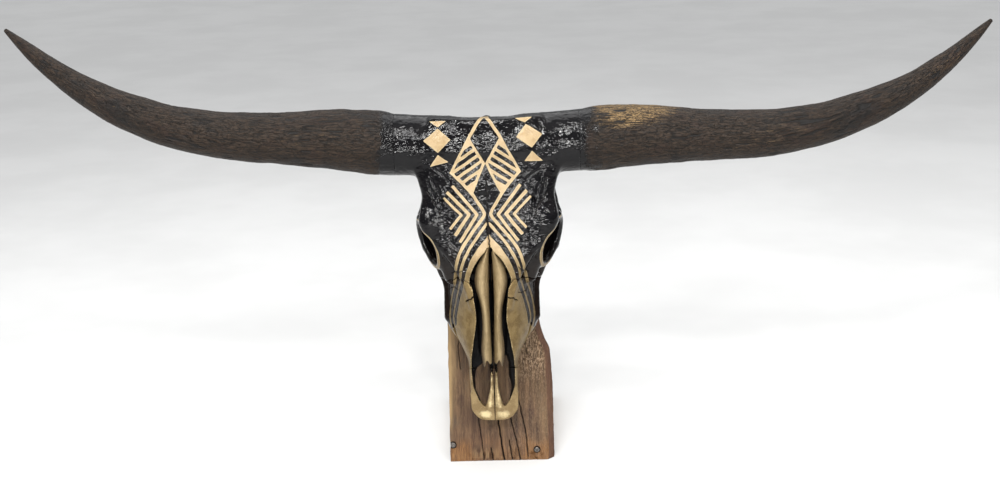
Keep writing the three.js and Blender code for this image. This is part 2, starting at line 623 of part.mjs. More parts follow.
// lathe +Z must point backwards, out of the plank's back face
const fixingBolt = place(bolt, boltPlace);
const boltHole = place(
  solidOf(
    turned(
      [
        [0, 0],
        [4.4, 0],
        [4.4, -PLANK_THICK - 90],
        [0, -PLANK_THICK - 90],
      ],
      14,
    ),
    move(0, 0, 0.29),
  ),
  boltPlace,
);

// ---------------------------------------------------------------- the skull's bones
const kerfX = slab(-KERF / 2, KERF / 2, -80, 220, -560, -FACE_CUT);
const kerfFace = slab(-140, 140, -80, 220, -FACE_CUT - KERF / 2, -FACE_CUT + KERF / 2);
const kerfNose = slab(-140, 140, -80, 220, -NOSE_CUT - KERF / 2, -NOSE_CUT + KERF / 2);
const bones = thin(
  meshField(
    (x, y, z) => {
      u = Math.abs(x);
      v = -z;
      w = -y;
      return Math.max(field().d, u - HORN_CUT);
    },
    [-153, -18, -525],
    [153, 192, 18],
    GRID,
    true,
  ),
  BONE_TRIANGLES,
);
const nasalPair = [-1, 1].map((side) =>
  thin(
    meshField(
      (x, y, z) => {
        u = side * x;
        v = -z;
        w = -y;
        return u < -2 ? 2 : field().nas;
      },
      side < 0 ? [-35, -18, -439] : [-5, -18, -439],
      side < 0 ? [5, 42, -206.5] : [35, 42, -206.5],
      2.5,
    ),
    240,
  ),
);
const nasals = nasalPair.map((m) => largest(solid(m)));
let skull = solid(bones);
// the nasal bones' seats, cut a little wider than the bones all round
for (const n of nasals)
  for (const [x, y, z] of [[0, 0, 0], [0.4, 0, 0], [-0.4, 0, 0], [0, 0.4, 0], [0, -0.4, 0], [0, 0, 0.4], [0, 0, -0.4]])
    skull = skull.subtract(n.translate(x, y, z));
skull = skull.subtract(slab(HORN_CUT + 0.02, 200, -80, 220, -200, 60)).subtract(slab(-200, -HORN_CUT - 0.02, -80, 220, -200, 60));
// the teeth and the processes beside the condyles are worn flat where they rest
skull = skull.subtract(place(slab(-150, 150, -0.35, 60, -20, 640), skullFromPlank));
skull = skull.subtract(kerfX).subtract(kerfFace).subtract(kerfNose).subtract(place(boltHole, skullFromPlank));
const sorted = { cranium: [], maxilla_right: [], maxilla_left: [], incisive_right: [], incisive_left: [] };
for (const s of skull.decompose()) {
  const b = s.boundingBox();
  const level = -(b.min[2] + b.max[2]) / 2,
    side = (b.min[0] + b.max[0]) / 2 < 0 ? "right" : "left";
  const key = level < FACE_CUT ? "cranium" : level < NOSE_CUT ? "maxilla_" + side : "incisive_" + side;
  sorted[key].push(s);
}
for (const [name, list] of Object.entries(sorted)) {
  list.sort((a, b) => b.volume() - a.volume());
  skullFrame.add(make(name, list[0], name === "cranium" ? blackPaint : name.startsWith("max") ? blackPaint : goldPaint));
}
skullFrame.add(make("nasal_right", nasals[0], goldPaint), make("nasal_left", nasals[1], goldPaint));

// ---------------------------------------------------------------- the horns
// stations along each horn: share of its reach, level down from the poll of the right
// and of the left horn, height off the forehead's plane, half height and half depth
function hornShape(side, reach) {
  const S = [
    [0, 44.5, 44.5, -49, 51, 44.5],
    [0.05, 41.5, 43.5, -47, 53.4, 46.5],
    [0.1, 38.5, 41, -43, 51.5, 46],
    [0.16, 34.5, 40.3, -37, 49.5, 44.5],
    [0.24, 32, 41, -29, 46, 42],
    [0.33, 29, 42.5, -22, 41.8, 38.8],
    [0.45, 22.6, 41.5, -12, 38.7, 36],
    [0.57, 8.3, 32.3, -4, 34.9, 32.8],
    [0.69, -17.6, 9.4, 3, 30.7, 29],
    [0.8, -52.9, -22.3, 9.7, 23.4, 22.2],
    [0.9, -97, -66.8, 14.6, 15.6, 15],
    [0.965, -132.5, -104, 17.2, 8.8, 8.5],
    [1, -152.5, -126, 18.5, 2, 2],
  ];
  const column = (k) => stations(S.map((s) => [s[0], s[k]]));
  const [level, height, halfUp, halfDeep] = [side < 0 ? 1 : 2, 3, 4, 5].map(column);
  const N = 26,
    M = 14;
  const centre = (t) => new THREE.Vector3(HORN_CUT + 0.4 + t * reach, -prof(t, height), -prof(t, level));
  const pos = [],
    tri = [];
  for (let i = 0; i <= N; i++) {
    const t = Math.pow(i / N, 0.92);
    const c = centre(t);
    const dir = centre(Math.min(t + 0.004, 1)).sub(centre(Math.max(t - 0.004, 0))).normalize();
    if (i < 1) dir.set(1, 0, 0);
    const up = new THREE.Vector3(0, 0, 1).addScaledVector(dir, -dir.z).normalize();
    const out = new THREE.Vector3().crossVectors(dir, up).normalize();
    const hv = prof(t, halfUp),
      hw = prof(t, halfDeep);
    for (let j = 0; j < M; j++) {
      const a = (j / M) * 2 * Math.PI;
      const p = c.clone().addScaledVector(up, hv * Math.cos(a)).addScaledVector(out, hw * Math.sin(a));
      pos.push(side * p.x, p.y, p.z);
    }
  }
  const last = pos.length / 3;
  const root = centre(0),
    tip = centre(1);
  pos.push(side * root.x, root.y, root.z, side * (tip.x + 3), tip.y, tip.z + 3);
  const put = (a, b, c) => (side > 0 ? tri.push(a, c, b) : tri.push(a, b, c));
  for (let i = 0; i < N; i++)
    for (let j = 0; j < M; j++) {
      const k = (j + 1) % M,
        a = i * M + j,
        b = i * M + k;
      put(a, a + M, b);
      put(b, a + M, b + M);
    }
  for (let j = 0; j < M; j++) {
    const k = (j + 1) % M;
    put(last, j, k);
    put(last + 1, N * M + k, N * M + j);
  }
  return solid({ pos, tri });
}
for (const [name, side, reach] of [
  ["horn_right", -1, REACH_RIGHT],
  ["horn_left", 1, REACH_LEFT],
]) {
  const s = hornShape(side, reach);
  if (s.volume() < 0) throw new Error(name + " is inside out");
  skullFrame.add(make(name, s, hornStuff));
}

// ---------------------------------------------------------------- plank and foot board
const plankShape = new THREE.Shape(
  [
    [PLANK_LEFT + 6, 0],
    [PLANK_RIGHT - 3, 0],
    [PLANK_RIGHT, 9],
    [PLANK_RIGHT, 120],
    [PLANK_RIGHT - 2, 162],
    [PLANK_RIGHT - 4, 188],
    [PLANK_RIGHT - 13, 209],
    [PLANK_RIGHT - 20, 237],
    [PLANK_RIGHT - 23, 264],
    [PLANK_RIGHT - 21, 306],
    [PLANK_RIGHT - 13, 352],
    [PLANK_RIGHT - 3, 392],
    [PLANK_RIGHT - 2, PLANK_LENGTH - 4],
    [PLANK_RIGHT - 8, PLANK_LENGTH],
    [PLANK_LEFT + 4, PLANK_LENGTH - 2],
    [PLANK_LEFT, PLANK_LENGTH - 7],
    [PLANK_LEFT, 12],
    [PLANK_LEFT + 1.5, 4],
  ].map(([x, y]) => new THREE.Vector2(x, y)),
);
const upright = new THREE.Matrix4().makeRotationX(Math.PI / 2); // drawing plane to the plank's face
const body = solidOf(new THREE.ExtrudeGeometry(plankShape, { depth: PLANK_THICK, bevelEnabled: false }), move(0, PLANK_THICK, 0).multiply(upright));
// the worn corner along the right edge of the face
const wane = solidOf(
  new THREE.ExtrudeGeometry(
    new THREE.Shape([
      new THREE.Vector2(PLANK_RIGHT - 12, -4),
      new THREE.Vector2(PLANK_RIGHT + 8, -4),
      new THREE.Vector2(PLANK_RIGHT + 8, 34),
      new THREE.Vector2(PLANK_RIGHT + 1, 30),
    ]),
    { depth: 360, bevelEnabled: false },
  ),
  move(0, 0, -20),
);
// cuts the foot of the plank so that it stands flat while it leans
const footCut = place(slab(-150, 150, -120, 160, -80, 0), plankFrame.matrix.clone().invert());
let plank = body.subtract(wane).subtract(footCut);
for (const [, , hole] of screws) plank = plank.subtract(place(hole, plankFrame.matrix.clone().invert()));
plank = plank.subtract(place(solidOf(new THREE.CylinderGeometry(4.4, 4.4, 90, 14)), move(0, 20, BOLT_UP)));
// foot board: lies flat, its front end cut to the plank's lean
const footSection = new THREE.Shape(
  [
    [PLANK_THICK / Math.cos(PLANK_LEAN) + 0.35, 0],
    [PLANK_THICK / Math.cos(PLANK_LEAN) + FOOT_REACH, 0],
    [PLANK_THICK / Math.cos(PLANK_LEAN) + FOOT_REACH, FOOT_THICK - 2],
    [PLANK_THICK / Math.cos(PLANK_LEAN) + FOOT_REACH - 2, FOOT_THICK],
    [PLANK_THICK / Math.cos(PLANK_LEAN) + 0.35 + FOOT_THICK * Math.tan(PLANK_LEAN), FOOT_THICK],
  ].map(([x, y]) => new THREE.Vector2(x, y)),
);
const sideways = new THREE.Matrix4().makeBasis(new THREE.Vector3(0, 1, 0), new THREE.Vector3(0, 0, 1), new THREE.Vector3(1, 0, 0));
let foot = solidOf(new THREE.ExtrudeGeometry(footSection, { depth: PLANK_RIGHT - 1 - (PLANK_LEFT + 1), bevelEnabled: false }), move(PLANK_LEFT + 1, 0, 0).multiply(sideways));
for (const [, , hole] of screws) foot = foot.subtract(hole);
whole.add(make("stand_base", foot, plainWood));
plankFrame.add(make("plank", largest(plank), oldWood));
for (const [name, s] of screws) whole.add(make(name, s, zinc));
plankFrame.add(make("fixing_bolt", fixingBolt, zinc));

export default whole;
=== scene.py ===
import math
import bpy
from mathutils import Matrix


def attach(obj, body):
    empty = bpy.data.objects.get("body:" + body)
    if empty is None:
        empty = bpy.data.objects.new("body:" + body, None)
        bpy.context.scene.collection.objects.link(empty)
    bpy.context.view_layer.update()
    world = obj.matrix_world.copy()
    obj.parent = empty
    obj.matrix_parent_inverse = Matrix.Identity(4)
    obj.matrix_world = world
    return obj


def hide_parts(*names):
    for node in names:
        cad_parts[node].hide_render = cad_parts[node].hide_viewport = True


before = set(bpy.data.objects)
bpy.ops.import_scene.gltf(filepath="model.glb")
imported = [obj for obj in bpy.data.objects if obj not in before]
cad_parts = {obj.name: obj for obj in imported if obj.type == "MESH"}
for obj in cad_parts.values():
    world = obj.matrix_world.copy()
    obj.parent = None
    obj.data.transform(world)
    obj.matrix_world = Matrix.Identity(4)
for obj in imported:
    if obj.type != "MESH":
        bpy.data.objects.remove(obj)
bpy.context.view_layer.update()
# Longhorn steer skull on its leaning plank: the looks. The bones come from one distance
# field, the horns and timber from lofts and grids; everything is in metres.
from concurrent.futures import ThreadPoolExecutor

import bpy
import numpy as np
from mathutils import Matrix

# ------------------------------------------------------------------ dimensions (mm)
LEAN = math.radians(17.5)
TILT = math.radians(10.2)
POLL_UP, POLL_OUT = 575.0, 183.3
SHIFT = np.array([-20.5, -108.9, 0.0])
PLANK_THICK, PLANK_LENGTH, PLANK_LEFT, PLANK_RIGHT = 42.0, 556.0, -80.0, 101.0
FOOT_REACH, FOOT_THICK = 236.0, 38.0
HORN_CUT, REACH_RIGHT, REACH_LEFT = 150.0, 602.0, 643.0
H = 1.25  # spacing of the bone field
C, S = math.cos(TILT), math.sin(TILT)
ORIGIN = np.array(
    [
        0.0,
        POLL_UP * math.sin(LEAN) - POLL_OUT * math.cos(LEAN),
        POLL_UP * math.cos(LEAN) + POLL_OUT * math.sin(LEAN),
    ]
) + SHIFT


def skull_to_world(p):
    """(x, level down from the poll, height off the forehead) to the row frame, in mm."""
    x, v, w = p[:, 0], p[:, 1], p[:, 2]
    return np.stack([x, -w * C - v * S, w * S - v * C], 1) + ORIGIN


def plank_to_world(p):
    """(x, up the face, out of the face) to the row frame, in mm."""
    x, s, n = p[:, 0], p[:, 1], p[:, 2]
    c, k = math.cos(LEAN), math.sin(LEAN)
    return np.stack([x, s * k - n * c, s * c + n * k], 1) + SHIFT


# ------------------------------------------------------------------ arithmetic
def relu(a):
    return np.maximum(a, 0.0)


def smin(a, b, k):
    h = np.maximum(k - np.abs(a - b), 0.0) / k
    return np.minimum(a, b) - h * h * h * (k / 6.0)


def smax(a, b, k):
    return -smin(-a, -b, k)


def sstep(x, a, b):
    t = np.clip((x - a) / (b - a), 0, 1)
    return t * t * (3 - 2 * t)


def mix(a, b, t):
    return a + (b - a) * t


def bump(x, c, s):
    t = np.clip(1 - ((x - c) / s) ** 2, 0, 1)
    return t * t


def prof(x, tab):
    """A smooth profile through a few stations, [place, value]."""
    x = np.asarray(x)
    kind = x.dtype if x.dtype.kind == "f" else np.float64
    xs = np.array([t[0] for t in tab], kind)
    ys = np.array([t[1] for t in tab], kind)
    n = len(xs)
    m = np.zeros(n, kind)
    dl = np.diff(ys) / np.diff(xs)
    for i in range(1, n - 1):
        m[i] = 0.0 if dl[i - 1] * dl[i] <= 0 else 2 * dl[i - 1] * dl[i] / (dl[i - 1] + dl[i])
    m[0], m[-1] = dl[0], dl[-1]
    x = np.clip(x, xs[0], xs[-1])
    i = np.clip(np.searchsorted(xs, x, side="right") - 1, 0, n - 2)
    h = (xs[1:] - xs[:-1])[i]
    t = (x - xs[i]) / h
    r = 1 - t
    return ys[i] * (1 + 2 * t) * r * r + h * m[i] * t * r * r + ys[i + 1] * t * t * (3 - 2 * t) + h * m[i + 1] * t * t * (t - 1)


def vnoise(p, seed=0):
    """Smooth value noise, -1 to 1, at points p of shape (N, 3)."""
    q = np.floor(p)
    f = (p - q).astype(np.float32)
    q = q.astype(np.int64)
    f = f * f * f * (f * (f * 6 - 15) + 10)

    def corner(i, j, k):
        n = ((q[:, 0] + i) * 374761393 + (q[:, 1] + j) * 668265263 + (q[:, 2] + k) * 1442695041 + seed * 974634777) & 0xFFFFFFFF
        n = ((n ^ (n >> 13)) * 1274126177) & 0xFFFFFFFF
        n = ((n ^ (n >> 15)) * 2246822519) & 0xFFFFFFFF
        return ((n ^ (n >> 16)) & 0xFFFF).astype(np.float32) / 32767.5 - 1

    out = 0
    for i in (0, 1):
        wx = f[:, 0] if i else 1 - f[:, 0]
        for j in (0, 1):
            wy = f[:, 1] if j else 1 - f[:, 1]
            for k in (0, 1):
                wz = f[:, 2] if k else 1 - f[:, 2]
                out = out + wx * wy * wz * corner(i, j, k)
    return out


def fbm(p, seed=0, octaves=3, fall=0.5):
    out, amp, total = 0, 1.0, 0.0
    for o in range(octaves):
        out = out + amp * vnoise(p * (2.03**o), seed + 17 * o)
        total += amp
        amp *= fall
    return out / total


def shapes(u, v, w):
    def ell(c, r):
        a, b, e = u - c[0], v - c[1], w - c[2]
        k0 = np.sqrt((a / r[0]) ** 2 + (b / r[1]) ** 2 + (e / r[2]) ** 2)
        k1 = np.sqrt((a / r[0] ** 2) ** 2 + (b / r[1] ** 2) ** 2 + (e / r[2] ** 2) ** 2)
        return k0 * (k0 - 1) / np.maximum(k1, 1e-9)

    def loc(c, n):
        n = np.array(n, float)
        n /= np.linalg.norm(n)
        t1 = np.array([0, 0, 1.0]) - n[2] * n
        t1 /= np.linalg.norm(t1)
        t2 = np.cross(n, t1)
        a, b, e = u - c[0], v - c[1], w - c[2]
        return [a * float(q[0]) + b * float(q[1]) + e * float(q[2]) for q in (n, t1, t2)]

    def ell3(c, r, n):
        a, b, e = loc(c, n)
        k0 = np.sqrt((a / r[0]) ** 2 + (b / r[2]) ** 2 + (e / r[1]) ** 2)
        k1 = np.sqrt((a / r[0] ** 2) ** 2 + (b / r[2] ** 2) ** 2 + (e / r[1] ** 2) ** 2)
        return k0 * (k0 - 1) / np.maximum(k1, 1e-9)

    def ring(c, n, r1, r2, t):
        a, b, e = loc(c, n)
        q = np.sqrt((b / r1) ** 2 + (e / r2) ** 2)
        return np.sqrt(((q - 1) * (0.5 * (r1 + r2))) ** 2 + a * a) - t

    def cap(a, b, ra, rb, s):
        p = [(u - a[0]) * s[0], (v - a[1]) * s[1], (w - a[2]) * s[2]]
        e = [(b[i] - a[i]) * s[i] for i in range(3)]
        t = np.clip((p[0] * e[0] + p[1] * e[1] + p[2] * e[2]) / sum(x * x for x in e), 0, 1)
        return np.sqrt((p[0] - t * e[0]) ** 2 + (p[1] - t * e[1]) ** 2 + (p[2] - t * e[2]) ** 2) - (ra + (rb - ra) * t)

    def rbox(c, h, r):
        a, b, e = np.abs(u - c[0]) - h[0], np.abs(v - c[1]) - h[1], np.abs(w - c[2]) - h[2]
        return np.sqrt(relu(a) ** 2 + relu(b) ** 2 + relu(e) ** 2) + np.minimum(np.maximum(np.maximum(a, b), e), 0) - r

    def teeth(rows):
        d = None
        for v0, hv, hu, u0 in rows:
            a, b = np.abs(u - u0) - hu + 3.5, np.abs(v - v0) - hv + 3.5
            q = np.sqrt(relu(a) ** 2 + relu(b) ** 2) + np.minimum(np.maximum(a, b), 0) - 3.5
            q = q + 0 * w
            q = smax(q, 1.6 - np.sqrt((u - u0 - hu - 0.2) ** 2 + (v - v0) ** 2), 1.0)
            d = q if d is None else np.minimum(d, q)
        return d

    return ell, ell3, ring, cap, rbox, teeth


def bones(u, v, w, parts=False):
    """The skull's field: negative inside the bone. u is the distance from the midline,
    v the distance down the face from the poll, w the height above the forehead."""
    ell, ell3, ring, cap, rbox, teeth = shapes(u, v, w)
    # ---- braincase and the frontal plate
    d = ell([0,92,-74],[76,84,54])
    topw = 0 - 0.0010*u*u + 3*bump(v,18,26)*bump(u,0,70) - 4*bump(v,150,50)*bump(u,0,45) + 5*bump(v,172,30)*bump(u,98,26) - 0.075*relu(v-232)
    hF = prof(v, [[-20,84],[15,96],[50,112],[84,119],[105,113.5],[131,108],[152,111.5],[170,114.5],[186,109],[206,92],[232,70],[262,52],[300,38],[340,31]])
    plate = smax(smax(w-topw, (u-hF)*0.93, 16), smax(topw-46+0.20*u-w, smax(6-0.0006*u*u-v, v-318, 10), 18), 14)
    d = smin(d, plate, 16)
    d = smin(d, ell([0,205,-66],[46,74,52]), 22)
    # ---- occiput, poll ridge and horn pedicles
    d = smin(d, rbox([0,45,-64],[58,8,42],24), 16)
    d = smin(d, cap([0,29,-27],[80,43,-42],23,37,[1,1,1]), 14)
    d = smin(d, cap([66,52,-47],[178,44,-50],42.5,43,[0.85,0.85,1]), 16)
    d = smin(d, cap([80,56,-58],[86,66,-112],13,10,[1,1,1]), 14)
    d = smax(d, 0-ell([40,-14,-78],[30,26,28]), 12)
    d = smin(d, cap([0,11,-44],[0,22,-84],9,6,[1,1,1]), 10)
    # ---- temporal fossa
    d = smax(d, 0-ell([112,116,-72],[46,52,30]), 12)
    d = smax(d, 0-ell([110,150,-86],[42,40,34]), 12)
    # ---- skull base
    d = smin(d, cap([0,50,-118],[0,185,-100],19,13,[1,1,1]), 14)
    d = smin(d, ell([13,106,-132],[10,14,9]), 8)
    d = smin(d, smax(ell([27,38,-122],[19,24,27]), 0-ell([6,16,-150],[16,14,18]), 6), 8)
    d = smin(d, cap([60,48,-104],[58,60,-169.5],17,6,[1,1,0.8]), 10)
    d = smin(d, ell([48,96,-124],[13,20,20]), 8)
    d = smin(d, cap([70,92,-100],[90,84,-98],10,7,[1,1,1]), 8)
    d = smax(d, 0-cap([84,86,-98],[96,82,-97],3.6,4.2,[1,1,1]), 2)
    d = smin(d, cap([30,150,-96],[34,215,-98],22,22,[1,1,1]), 12)
    # ---- face
    dep = relu(0-w)
    hM = prof(v, [[215,76],[250,76],[285,73],[318,73],[345,77],[360,72],[374,62.5],[388,53],[400,46.5],[411,43.4],[430,42.3],[470,41]])
    hq = prof(dep-0.06*relu(v-232), [[0,0.24],[10,0.40],[20,0.57],[34,0.70],[55,0.84],[78,0.97],[92,1.0],[108,0.93],[126,0.80]])
    hq2 = mix(hq, 0-0.03+prof(dep-0.06*relu(v-232), [[0,0.60],[14,0.80],[30,0.93],[60,1.0],[95,1.0],[126,0.94]]), sstep(v,350,405))
    bot = prof(v, [[225,-112],[260,-118],[340,-116],[392,-110],[420,-101],[460,-95]])
    topf = 0-5-0.075*relu(v-232)-46*sstep(v,352,470)*sstep(v,352,470)-18*sstep(v,430,500)
    face = smax(smax((u-hM*hq2)*0.86, smax(w-topf, bot-w, 6), 8), smax(226-v, v-476, 8), 10)
    d = smin(d, face, 20)
    # facial crest, malar and arch
    d = smin(d, cap([99,214,-100],[74,285,-96],12,6,[1,1,1]), 10)
    d = smin(d, cap([74,285,-96],[72.5,338,-89],6,8.5,[1,1,1]), 8)
    d = smin(d, cap([64,100,-100],[98,112,-102],15,9,[1,1,1]), 12)
    d = smin(d, cap([98,112,-102],[110,166,-96],9,9,[1,1,0.8]), 8)
    d = smin(d, cap([110,166,-96],[103,220,-103],9,13,[1,1,0.8]), 8)
    # ---- orbit
    d = smin(d, cap([78,226,-34],[64,266,-48],12,12,[1,1,1]), 12)
    oc = ell3([88,206,-55],[44,41,38],[0.90,0.30,0.33])
    d = smax(d, 0-oc, 7)
    d = smax(d, 0-cap([99,208,-54],[150,225,-34],36,46,[1,1,1]), 5)
    d = smin(d, ring([98,208,-54],[0.90,0.30,0.33],40,42,6.2), 8)
    d = smin(d, cap([111.5,166,-40],[112,170,-92],7,7.5,[1,1,1]), 8)
    d = smin(d, ell([56,246,-92],[16,22,16]), 8)
    # ---- cheek teeth in their sockets
    d = smin(d, cap([44,386,-106],[58,256,-112],9,15,[1,1,1]), 8)
    occ = 0-184.2+0.1276*v
    tth = teeth([[381,8.0,7.5,49],[363.5,8.6,8.5,51],[344.5,9.4,9.5,53.5],[322,11.6,10.5,56.5],[297,12.4,11,58.5],[271,12.4,10.5,59.5]])
    d = smin(d, smax(tth, smax(occ-w, w+104, 2), 2.5), 2.5)
    # ---- nasal cavity and the opening in front
    hA = prof(v, [[213,0.5],[219,5],[226,12],[235,19.5],[246,26],[257,30.5],[267,33],[274,32],[280,29],[290,27.4],[301,26.4],[315,24.6],[330,24],[344,25.2],[359,27.8],[381,31.3],[403,34.3],[432,34.8],[446,34.4],[456,33.6],[466,31],[475,27.7],[485,23],[490,19.5],[494,15],[497,8],[499,3]])
    cav = smax(smax(u-hA-4*sstep(w,-30,-50)*sstep(440-v,0,60), w-40, 2), smax(-97-w-12*sstep(v,428,440), smax(213+0.55*relu(0-20-w)-v, v-498, 3), 3), 3)
    d = smax(d, 0-cav, 3)
    # premaxilla
    pm = smax(smax(u-prof(v,[[455,41],[470,40.8],[496,39.7],[508,33],[515,25],[519,13]]), smax(w+82+0.12*relu(v-480), -98-w, 3), 4), smax(468-v, v-518, 4), 4)
    pm = smax(pm, 0-(smax(u-hA, v-494, 3)), 3)
    d = smin(d, pm, 4)
    d = smin(d, smax(smin(cap([6,498,-89],[4.4,427,-92.5],6.6,2.6,[1,1,1]), cap([8.5,495,-88.5],[5.4,466,-91],8,4.6,[1,1,1]), 5), 0.6-u, 1), 4)
    # ---- palate, vomer and turbinates
    d = smin(d, smax(smax(u-prof(v,[[246,52],[340,46],[392,37],[436,33]]), smax(w+97, -105-w, 3), 3), smax(246-v, v-431+23*sstep(u,6,12), 3), 4), 5)
    d = smax(d, 0-ell([0,330,-124],[38,130,17]), 8)
    ppw = prof(v, [[400,7.5],[430,6.2],[446,6.2],[460,7],[475,9.8],[489,14.5],[496,18.5]])
    d = smax(d, 0-smax(smax(u-hA+0.6, ppw-u, 2), smax(smax(405-v, v-494, 3), w+60, 3), 3), 2)
    # ---- choanae and pterygoids
    d = smax(d, 0-cap([0,262,-108],[0,182,-126],19,19,[1,1,1]), 6)
    d = smin(d, rbox([25,206,-122],[1.5,20,18],2.5), 6)
    d = smin(d, cap([24,196,-136],[23,190,-148],4,3,[1,1,1]), 4)
    # ---- spinal canal
    d = smax(d, 0-cap([0,-10,-106],[0,62,-104],17,14,[1,1,1]), 4)
    d = smax(d, 0-cap([0,8,-140],[0,34,-134],7,6,[1,1,1]), 5)
    # ---- foramina
    d = smax(d, 0-cap([52,392,-72],[62,350,-66],4.5,4.0,[1,1,1]), 3)
    d = smax(d, 0-cap([74,120,6],[72,138,-9],1.7,1.7,[1,1,1]), 3)
    d = smax(d, 0-cap([72,140,0],[70,190,-1],2.0,1.2,[1,1,1]), 4)
    # ---- nasal bones: each a thin arch beside the midline cleft
    no = prof(v, [[213,4],[219,8],[226,12],[235,17.3],[246,22.5],[257,25.2],[268,26.6],[280,25.5],[292,22.5],[304,19.6],[316,17.6],[328,16.4],[342,16.2],[356,16.8],[370,18.2],[384,19],[400,18],[412,16]])
    ni = prof(v, [[213,1.0],[222,2.2],[240,3.1],[266,3.8],[300,4],[327,3.3],[355,2.8],[382,2],[412,1.6]])
    nc = (no+ni)*0.5
    nh = (no-ni)*0.5
    nw = 0-6.5-0.060*relu(v-250)-0.00022*relu(v-300)*relu(v-300)
    nq = (u-nc)/nh
    nas = smax(smax(w-(nw+6-8.5*nq*nq), (nw-0.5-10.5*nq*nq)-w, 1.5), smax(smax(nq-1,0-1-nq,0.1)*nh, smax(215-v, v-(409-9*bump(nq,0.05,0.62)+3.5*nq), 2), 2), 2)
    # the nasal bones' seats
    d = smax(d, 1.7-nas, 1)
    # the flat on which the teeth and the processes beside the condyles rest
    c, s = math.cos(LEAN - TILT), math.sin(LEAN - TILT)
    face = v * s - w * c - PLANK_OFF
    d = np.maximum(d, face)
    if parts:
        return d, cav, nas, tth, oc
    return d


def nasal_field(u, v, w):
    no = prof(v, [[213,4],[219,8],[226,12],[235,17.3],[246,22.5],[257,25.2],[268,26.6],[280,25.5],[292,22.5],[304,19.6],[316,17.6],[328,16.4],[342,16.2],[356,16.8],[370,18.2],[384,19],[400,18],[412,16]])
    ni = prof(v, [[213,1.0],[222,2.2],[240,3.1],[266,3.8],[300,4],[327,3.3],[355,2.8],[382,2],[412,1.6]])
    nc = (no+ni)*0.5
    nh = (no-ni)*0.5
    nw = 0-6.5-0.060*relu(v-250)-0.00022*relu(v-300)*relu(v-300)
    nq = (u-nc)/nh
    nas = smax(smax(w-(nw+6-8.5*nq*nq), (nw-0.5-10.5*nq*nq)-w, 1.5), smax(smax(nq-1,0-1-nq,0.1)*nh, smax(215-v, v-(409-9*bump(nq,0.05,0.62)+3.5*nq), 2), 2), 2)
    return nas


# height of the plank's face over the poll's frame: a point (v, w) of the skull lies on
# the plank's face where -w cos - v sin = PLANK_OFF
_t = (ORIGIN - SHIFT)[1] * math.cos(LEAN) * -1 + (ORIGIN - SHIFT)[2] * math.sin(LEAN)
PLANK_OFF = _t - 0.4


# ------------------------------------------------------------------ meshing
pool = ThreadPoolExecutor(4)


def sample(fn, lo, hi, h, blk=8, slack=1.25):
    """The field on a grid, computed only in the blocks near its surface."""
    lo = np.array(lo, float)
    nb = np.ceil(((np.array(hi) - lo) / h + 1) / blk).astype(int)
    ax = [lo[i] + (np.arange(nb[i]) * blk + (blk - 1) / 2) * h for i in range(3)]
    g = np.meshgrid(*ax, indexing="ij")
    coarse = fn(*[q.ravel().astype(np.float32) for q in g]).reshape(nb)
    reach = blk * h * 0.5 * math.sqrt(3) * slack + 1.0
    D = np.empty((nb[0], blk, nb[1], blk, nb[2], blk), np.float32)
    D[:] = np.where(coarse < 0, -reach, reach)[:, None, :, None, :, None]
    near = np.argwhere(np.abs(coarse) < reach)
    off = np.stack(np.meshgrid(*[np.arange(blk)] * 3, indexing="ij"), -1).reshape(-1, 3)

    def work(part):
        q = (part[:, None, :] * blk + off[None]).reshape(-1, 3).astype(np.float32) * np.float32(h) + lo.astype(np.float32)
        return fn(q[:, 0], q[:, 1], q[:, 2]).reshape(len(part), blk, blk, blk)

    chunks = np.array_split(near, max(1, len(near) // 120))
    for part, val in zip(chunks, pool.map(work, chunks)):
        D[part[:, 0], :, part[:, 1], :, part[:, 2], :] = val
    return D.reshape(nb * blk), lo


def surface_nets(d, org, h):
    """Vertices and outward quads of the zero surface of grid d."""
    s = d < 0
    cnt = np.zeros(np.array(d.shape) - 1, np.int8)
    corner = [(i, j, k) for i in (0, 1) for j in (0, 1) for k in (0, 1)]
    for i, j, k in corner:
        cnt += s[i : d.shape[0] - 1 + i, j : d.shape[1] - 1 + j, k : d.shape[2] - 1 + k]
    act = (cnt > 0) & (cnt < 8)
    idx = np.argwhere(act)
    num = -np.ones(act.shape, np.int32)
    num[act] = np.arange(len(idx))
    acc, n = np.zeros((len(idx), 3)), np.zeros(len(idx))
    val = {c: d[idx[:, 0] + c[0], idx[:, 1] + c[1], idx[:, 2] + c[2]].astype(float) for c in corner}
    for a in corner:
        for ax in range(3):
            if a[ax] == 0:
                b = list(a)
                b[ax] = 1
                va, vb = val[a], val[tuple(b)]
                m = (va < 0) != (vb < 0)
                t = np.where(m, va / np.where(va == vb, 1, va - vb), 0)
                p = np.array(a, float)[None, :] + np.zeros((len(idx), 3))
                p[:, ax] += t
                acc[m] += p[m]
                n[m] += 1
    v = (idx + acc / n[:, None]) * h + org
    quads = []
    for ax in range(3):
        o = [x for x in range(3) if x != ax]
        a, b = [slice(None)] * 3, [slice(None)] * 3
        a[ax], b[ax] = slice(0, -1), slice(1, None)
        sa, sb = s[tuple(a)], s[tuple(b)]
        e = np.argwhere(sa != sb)
        e = e[(e[:, o[0]] > 0) & (e[:, o[1]] > 0) & (e[:, o[0]] < d.shape[o[0]] - 1) & (e[:, o[1]] < d.shape[o[1]] - 1)]

        def cell(d0, d1):
            q = e.copy()
            q[:, o[0]] += d0
            q[:, o[1]] += d1
            return num[q[:, 0], q[:, 1], q[:, 2]]

        Q = np.stack([cell(-1, -1), cell(0, -1), cell(0, 0), cell(-1, 0)], 1)
        ins = sa[e[:, 0], e[:, 1], e[:, 2]]
        flip = ins if ax != 1 else ~ins
        Q[~flip] = Q[~flip][:, ::-1]
        quads.append(Q)
    return v, np.concatenate(quads)


